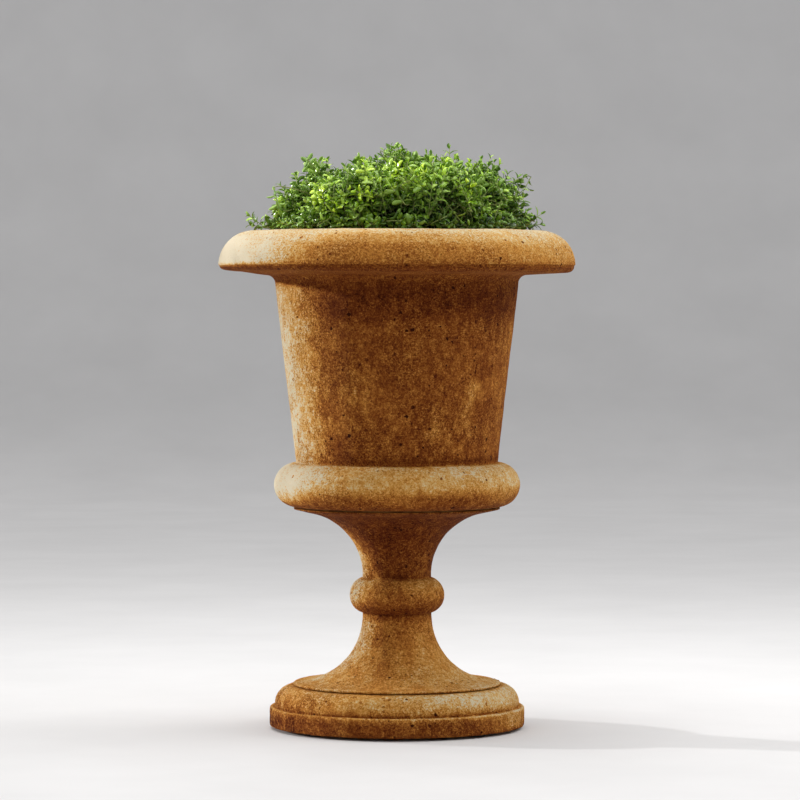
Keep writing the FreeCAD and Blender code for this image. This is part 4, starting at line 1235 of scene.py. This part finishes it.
tips, feet, depth, shrub = growShoots()
leaves, owner, youth, tone, faces, ends, under, across = growLeaves(tips, feet, depth, shrub)
leafMaterial, barkMaterial = makeLeafMaterial(), makeBarkMaterial()
print(len(tips), "shoots,", len(leaves), "leaves")
for index in range(ringCount + 1):
    shrubName = "shrub_%d" % index if index else "shrub_middle"
    mine, own = owner == index, shrub == index
    crown = leafPiece(shrubName + "_leaves", leaves[mine], youth[mine], tone[mine], faces, ends, under, across)
    twigs = twigPiece(shrubName + "_twigs", index, tips[own], feet[own])
    dress(crown, leafMaterial, "planting", shrubName + "_foliage")
    dress(twigs, barkMaterial, "planting", shrubName + "_stems")


soilShape = {
    "columns": 256,
    "sideRows": 84,
    "topRows": 34,
    "bottomRows": 12,
    "cover": 0.0035,             # of the top over the frame's soil
    "footLift": 0.0008,
    "crumbs": ((0.011, 0.0022, 203), (0.05, 0.002, 204)),   # cell, height and seed
    "ropes": (0.008, 0.0011),    # cell and height of the roots that press on the side
    "ropeStretch": 0.45,
    "dents": (0.030, 0.0030),
}


# The soil is one closed surface, from the middle of its underside out, up its tapered side and in over its
# top, with a root-matted relief on the side and crumbs on top.
def makeSoil():
    shape = soilShape
    low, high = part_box("potting_soil")
    topRadius = nodes["potting_soil"].dimensions.x / 2
    baseRadius = topRadius - (high.z - low.z) * bowlShape["bodyFlare"] / bowlShape["bodyHeight"]
    side = np.linspace(0, 1, shape["sideRows"])
    bottom = np.linspace(0.02, 0.97, shape["bottomRows"])
    lid = np.linspace(0.985, 0.01, shape["topRows"])
    taper = baseRadius + (topRadius - baseRadius) * side
    radius = np.concatenate([baseRadius * bottom, taper, topRadius * lid])
    height = low.z + (high.z - low.z) * np.concatenate([0 * bottom, side, np.ones(len(lid))])
    points = spinRows(radius, height, shape["columns"])
    part = np.repeat(["foot", "side", "top"], np.array([len(bottom), len(side), len(lid)]) * shape["columns"])
    outward = points * [1, 1, 0] / np.maximum(np.hypot(points[:, 0], points[:, 1]), 1e-6)[:, None]
    cell, reach = shape["ropes"]
    ropes = (1 - np.abs(latticeNoise(points * [1, 1, shape["ropeStretch"]], cell, 201))) ** 4 * reach - reach
    cell, reach = shape["dents"]
    dents = np.minimum(0, roughNoise(points, cell, 202)) * reach
    points = points + outward * ((ropes + dents) * (part == "side"))[:, None]
    crumbs = sum(roughNoise(points, cell, seed) * reach for cell, reach, seed in shape["crumbs"])
    points[:, 2] += np.where(part == "top", shape["cover"] + crumbs, 0)
    points[:, 2] += np.where(part == "foot", shape["footLift"], 0)
    poles = np.array([[0, 0, low.z + shape["footLift"]], [0, 0, high.z + shape["cover"]]])
    roots = np.concatenate([np.where(part == "side", 1.0, 0.15), [0, 0]])
    return makeCapped("planting_soil", points, poles, shape["columns"], {"root": roots})


# Thin winding lines: where a stretched noise passes its middle.
def rootLines(paint, scale):
    wave = paint.noise(scale, 0.5, 2, 0.5) - 0.5
    return wave.combine("ABSOLUTE").spread(0.004, 0.018, 1, 0)


# Soil is near black with brown fibres and pale specks of grit, and pale roots lie over its side.
def makeSoilMaterial():
    paint = Paint("potting_soil_crumb", 0.95, 0.15)
    crumb = paint.noise(160, 1, 5, 0.7)
    dark = crumb.ramp(((0.30, (0.009, 0.006, 0.004)), (0.55, (0.040, 0.025, 0.014)),
                       (0.80, (0.110, 0.075, 0.045))))
    distance, number = paint.cells(paint.place(), 120)
    speck = distance.spread(0.10, 0.22, 1, 0) * number.combine("GREATER_THAN", 0.86)
    roots = rootLines(paint, 32).combine("MAXIMUM", rootLines(paint, 75) * 0.6) * paint.attribute("root")
    paint.show(dark.mix((0.42, 0.38, 0.31), speck).mix((0.34, 0.25, 0.14), roots * 0.8))
    paint.bump(crumb + roots * 0.4, 0.002, 0.9)
    return paint.material


dress(makeSoil(), makeSoilMaterial(), "planting", "potting_soil")


clothShape = {"rings": 40, "columns": 160, "thickness": 0.0012, "quilting": 0.0005, "cell": 0.013,
              "edge": 0.0005}


# The filter cloth is a thin closed disc: a polar grid whose height wavers with noise, as over pebbles, and the
# same grid again below it by the cloth's thickness.
def makeCloth():
    shape = clothShape
    low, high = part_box("filter_cloth")
    edge = nodes["filter_cloth"].dimensions.x / 2 - shape["edge"]
    rings, columns = shape["rings"], shape["columns"]
    radius = edge * np.linspace(1 / rings, 1, rings)
    upper = spinRows(radius, 0 * radius, columns)
    upper[:, 2] = (low.z + high.z) / 2 + latticeNoise(upper, shape["cell"], 301) * shape["quilting"] / 2
    lower = upper.copy()
    upper[:, 2] += shape["thickness"] / 2
    lower[:, 2] -= shape["thickness"] / 2
    loop = np.concatenate([lower, upper.reshape(rings, columns, 3)[::-1].reshape(-1, 3)])
    poles = np.array([[0, 0, lower[0, 2]], [0, 0, upper[0, 2]]])
    return makeCapped("filter_cloth_disc", loop, poles, columns), edge


# Non-woven cloth: grey fibres in all directions, with a fine bonded dot pattern.
def makeClothMaterial():
    paint = Paint("filter_felt", 0.9, 0.2)
    fibres = paint.noise(900, 1, 4, 0.8)
    stain = paint.noise(30).spread(0.5, 0.8, 0, 0.6)
    colour = fibres.ramp(((0.3, (0.26, 0.25, 0.23)), (0.7, (0.52, 0.51, 0.48))))
    paint.show(colour.mix((0.14, 0.10, 0.06), stain))
    dots = paint.node("TexVoronoi", {"Vector": paint.place(), "Scale": 420}, "Distance")
    paint.bump(dots + (fibres - 0.5) * 0.6, 0.0004, 0.7)
    return paint.material


cloth, clothRadius = makeCloth()
dress(cloth, makeClothMaterial(), "bowl", "filter_cloth")


# Small parts keep their own shape and get a finish

# A plain finish with two near colours mixed by noise and a fine bump of the same scale.
def makePlainMaterial(name, dark, light, scale, roughness, specular, bump, upwards=1.0, metallic=0.0):
    paint = Paint(name, roughness, specular)
    paint.inputs["Metallic"].default_value = metallic
    pattern = paint.noise(scale, upwards, 4)
    paint.show(pattern.ramp(((0.3, dark), (0.7, light))))
    paint.bump(pattern, bump, 0.6)
    return paint.material


# Gravel: rounded pebbles from a cell pattern, each with its own colour, and painted shade dark in the gaps.
def makeGravelMaterial():
    paint = Paint("drain_pebbles", 0.75, 0.3)
    distance, number = paint.cells(paint.place(), 95)
    colour = number.ramp(((0.0, (0.16, 0.14, 0.12)), (0.5, (0.34, 0.30, 0.25)), (1.0, (0.58, 0.53, 0.46))))
    paint.show(colour.mix((0.03, 0.025, 0.02), distance.spread(0.35, 0.62)))
    paint.bump(distance * -1 + 1, 0.006)
    return paint.material


rootBall = makePlainMaterial(
    "matted_roots", (0.045, 0.028, 0.015), (0.20, 0.14, 0.08), 240, 0.95, 0.1, 0.002, 0.4)
partFinishes = {
    "foot_pads": makePlainMaterial(
        "pad_rubber", (0.012, 0.012, 0.012), (0.035, 0.034, 0.032), 300, 0.75, 0.35, 0.0003),
    "plinth_setting_ring": makePlainMaterial(
        "dusty_bedding_rubber", (0.090, 0.038, 0.012), (0.480, 0.230, 0.070), 45, 0.9, 0.1, 0.0006),
    "plinth_dowels": makePlainMaterial(
        "brushed_dowel", (0.36, 0.36, 0.37), (0.62, 0.62, 0.63), 700, 0.32, 0.5, 0.00005, 0.05, 1.0),
    "drain_sleeve": makePlainMaterial(
        "sleeve_grey", (0.20, 0.20, 0.20), (0.30, 0.30, 0.29), 60, 0.42, 0.5, 0.0001),
    "drain_screen": makePlainMaterial(
        "screen_black", (0.014, 0.016, 0.014), (0.045, 0.048, 0.044), 160, 0.5, 0.45, 0.0002),
    "gravel_bed": makeGravelMaterial(),
}
partFinishes["bowl_setting_ring"] = partFinishes["plinth_setting_ring"]
partFinishes["bowl_dowels"] = partFinishes["plinth_dowels"]
partFinishes.update({"shrub_%s_root_ball" % (index or "middle"): rootBall for index in range(ringCount + 1)})
for name, material in partFinishes.items():
    for holder in nodes[name].material_slots:
        holder.material = material
print("small parts finished")


# Stage: floor, light and camera

stageShape = {
    "halfWidth": 16.0,
    "front": -16.0,
    "back": 8.5,
    "coveRadius": 2.5,
    "wallHeight": 7.0,
    "colour": (0.70, 0.70, 0.71),
    "mottle": 0.03,
}


# The floor runs back, turns up through a quarter circle and becomes the wall behind: a profile carried
# sideways.
def makeStage():
    shape = stageShape
    cove, back = shape["coveRadius"], shape["back"]
    angles = np.radians(np.linspace(-90, 0, 25))
    depth = np.concatenate([[shape["front"]], back - cove + cove * np.cos(angles), [back]])
    height = np.concatenate([[0], cove + cove * np.sin(angles), [shape["wallHeight"]]])
    points = np.concatenate([np.stack([np.full(len(depth), x), depth, height], axis=-1)
                             for x in (-shape["halfWidth"], shape["halfWidth"])])
    count = len(depth)
    row = np.arange(count - 1)
    quads = np.stack([row, row + count, row + count + 1, row + 1], axis=-1)
    stage = makePiece("pale_floor", points, [quads])
    paint = Paint("pale_floor_paint", 0.8, 0.2)
    mottle = shape["mottle"]
    dark, light = (tuple(np.array(shape["colour"]) * (1 + change)) for change in (-mottle, mottle))
    paint.show(paint.noise(3).ramp(((0.3, dark), (0.7, light))))
    stage.data.materials.append(paint.material)
    stage.visible_shadow = False  # so that the wall doesn't shade the floor from the low key


lights = {
    "key": {"behindLeft": 23, "elevation": 12, "strength": 2.68, "softness": 1.2,
            "colour": (1.0, 0.985, 0.965)},
    "sky": {"place": (-0.4, 0.3, 2.6), "aim": (0, 0, 0.5), "size": 2.6, "power": 48,
            "colour": (1.0, 0.99, 0.97)},
    "fill": {"place": (1.7, 0.2, 1.8), "aim": (0, 0, 0.35), "size": 1.4, "power": 20,
             "colour": (1.0, 0.98, 0.95)},
    "world": {"colour": (1.0, 0.99, 0.98), "strength": 0.58},
}


# Puts a new lamp into the scene, turned so that it shines from its place towards its aim.
def hangLamp(name, kind, colour, place, towards):
    lamp = bpy.data.lights.new(name, kind)
    lamp.color = colour
    holder = bpy.data.objects.new(name, lamp)
    bpy.context.scene.collection.objects.link(holder)
    holder.location = place
    holder.rotation_euler = Vector(towards).to_track_quat("Z", "Y").to_euler()
    return lamp


# The key stands to the left and a few degrees behind, and the two panels above and to the right.
def makeLights():
    key = lights["key"]
    lamp = hangLamp("key_sun", "SUN", key["colour"], (0, 0, 0), leftwards(key["behindLeft"], key["elevation"]))
    lamp.energy, lamp.angle = key["strength"], math.radians(key["softness"])
    for name in ("sky", "fill"):
        plan = lights[name]
        away = np.subtract(plan["place"], plan["aim"])
        lamp = hangLamp(name + "_panel", "AREA", plan["colour"], plan["place"], away)
        lamp.energy, lamp.size = plan["power"], plan["size"]
    world = bpy.data.worlds.new("studio_air")
    world.use_nodes = True
    air = world.node_tree.nodes["Background"].inputs
    air["Color"].default_value = (*lights["world"]["colour"], 1)
    air["Strength"].default_value = lights["world"]["strength"]
    bpy.context.scene.world = world


cameraPlan = {"place": (0.0046, -5.612, 0.640), "pitch": 1.561, "lens": 170.1, "sensor": 36.0}


def makeCamera():
    data = bpy.data.cameras.new("viewer")
    data.lens, data.sensor_width = cameraPlan["lens"], cameraPlan["sensor"]
    data.clip_start, data.clip_end = 0.1, 60
    camera = bpy.data.objects.new("viewer", data)
    bpy.context.scene.collection.objects.link(camera)
    camera.location = cameraPlan["place"]
    camera.rotation_euler = (math.radians(90 - cameraPlan["pitch"]), 0, 0)
    bpy.context.scene.camera = camera


makeStage()
makeLights()
makeCamera()
bpy.context.scene.view_settings.view_transform = "Standard"
print("stage, lights and camera ready")
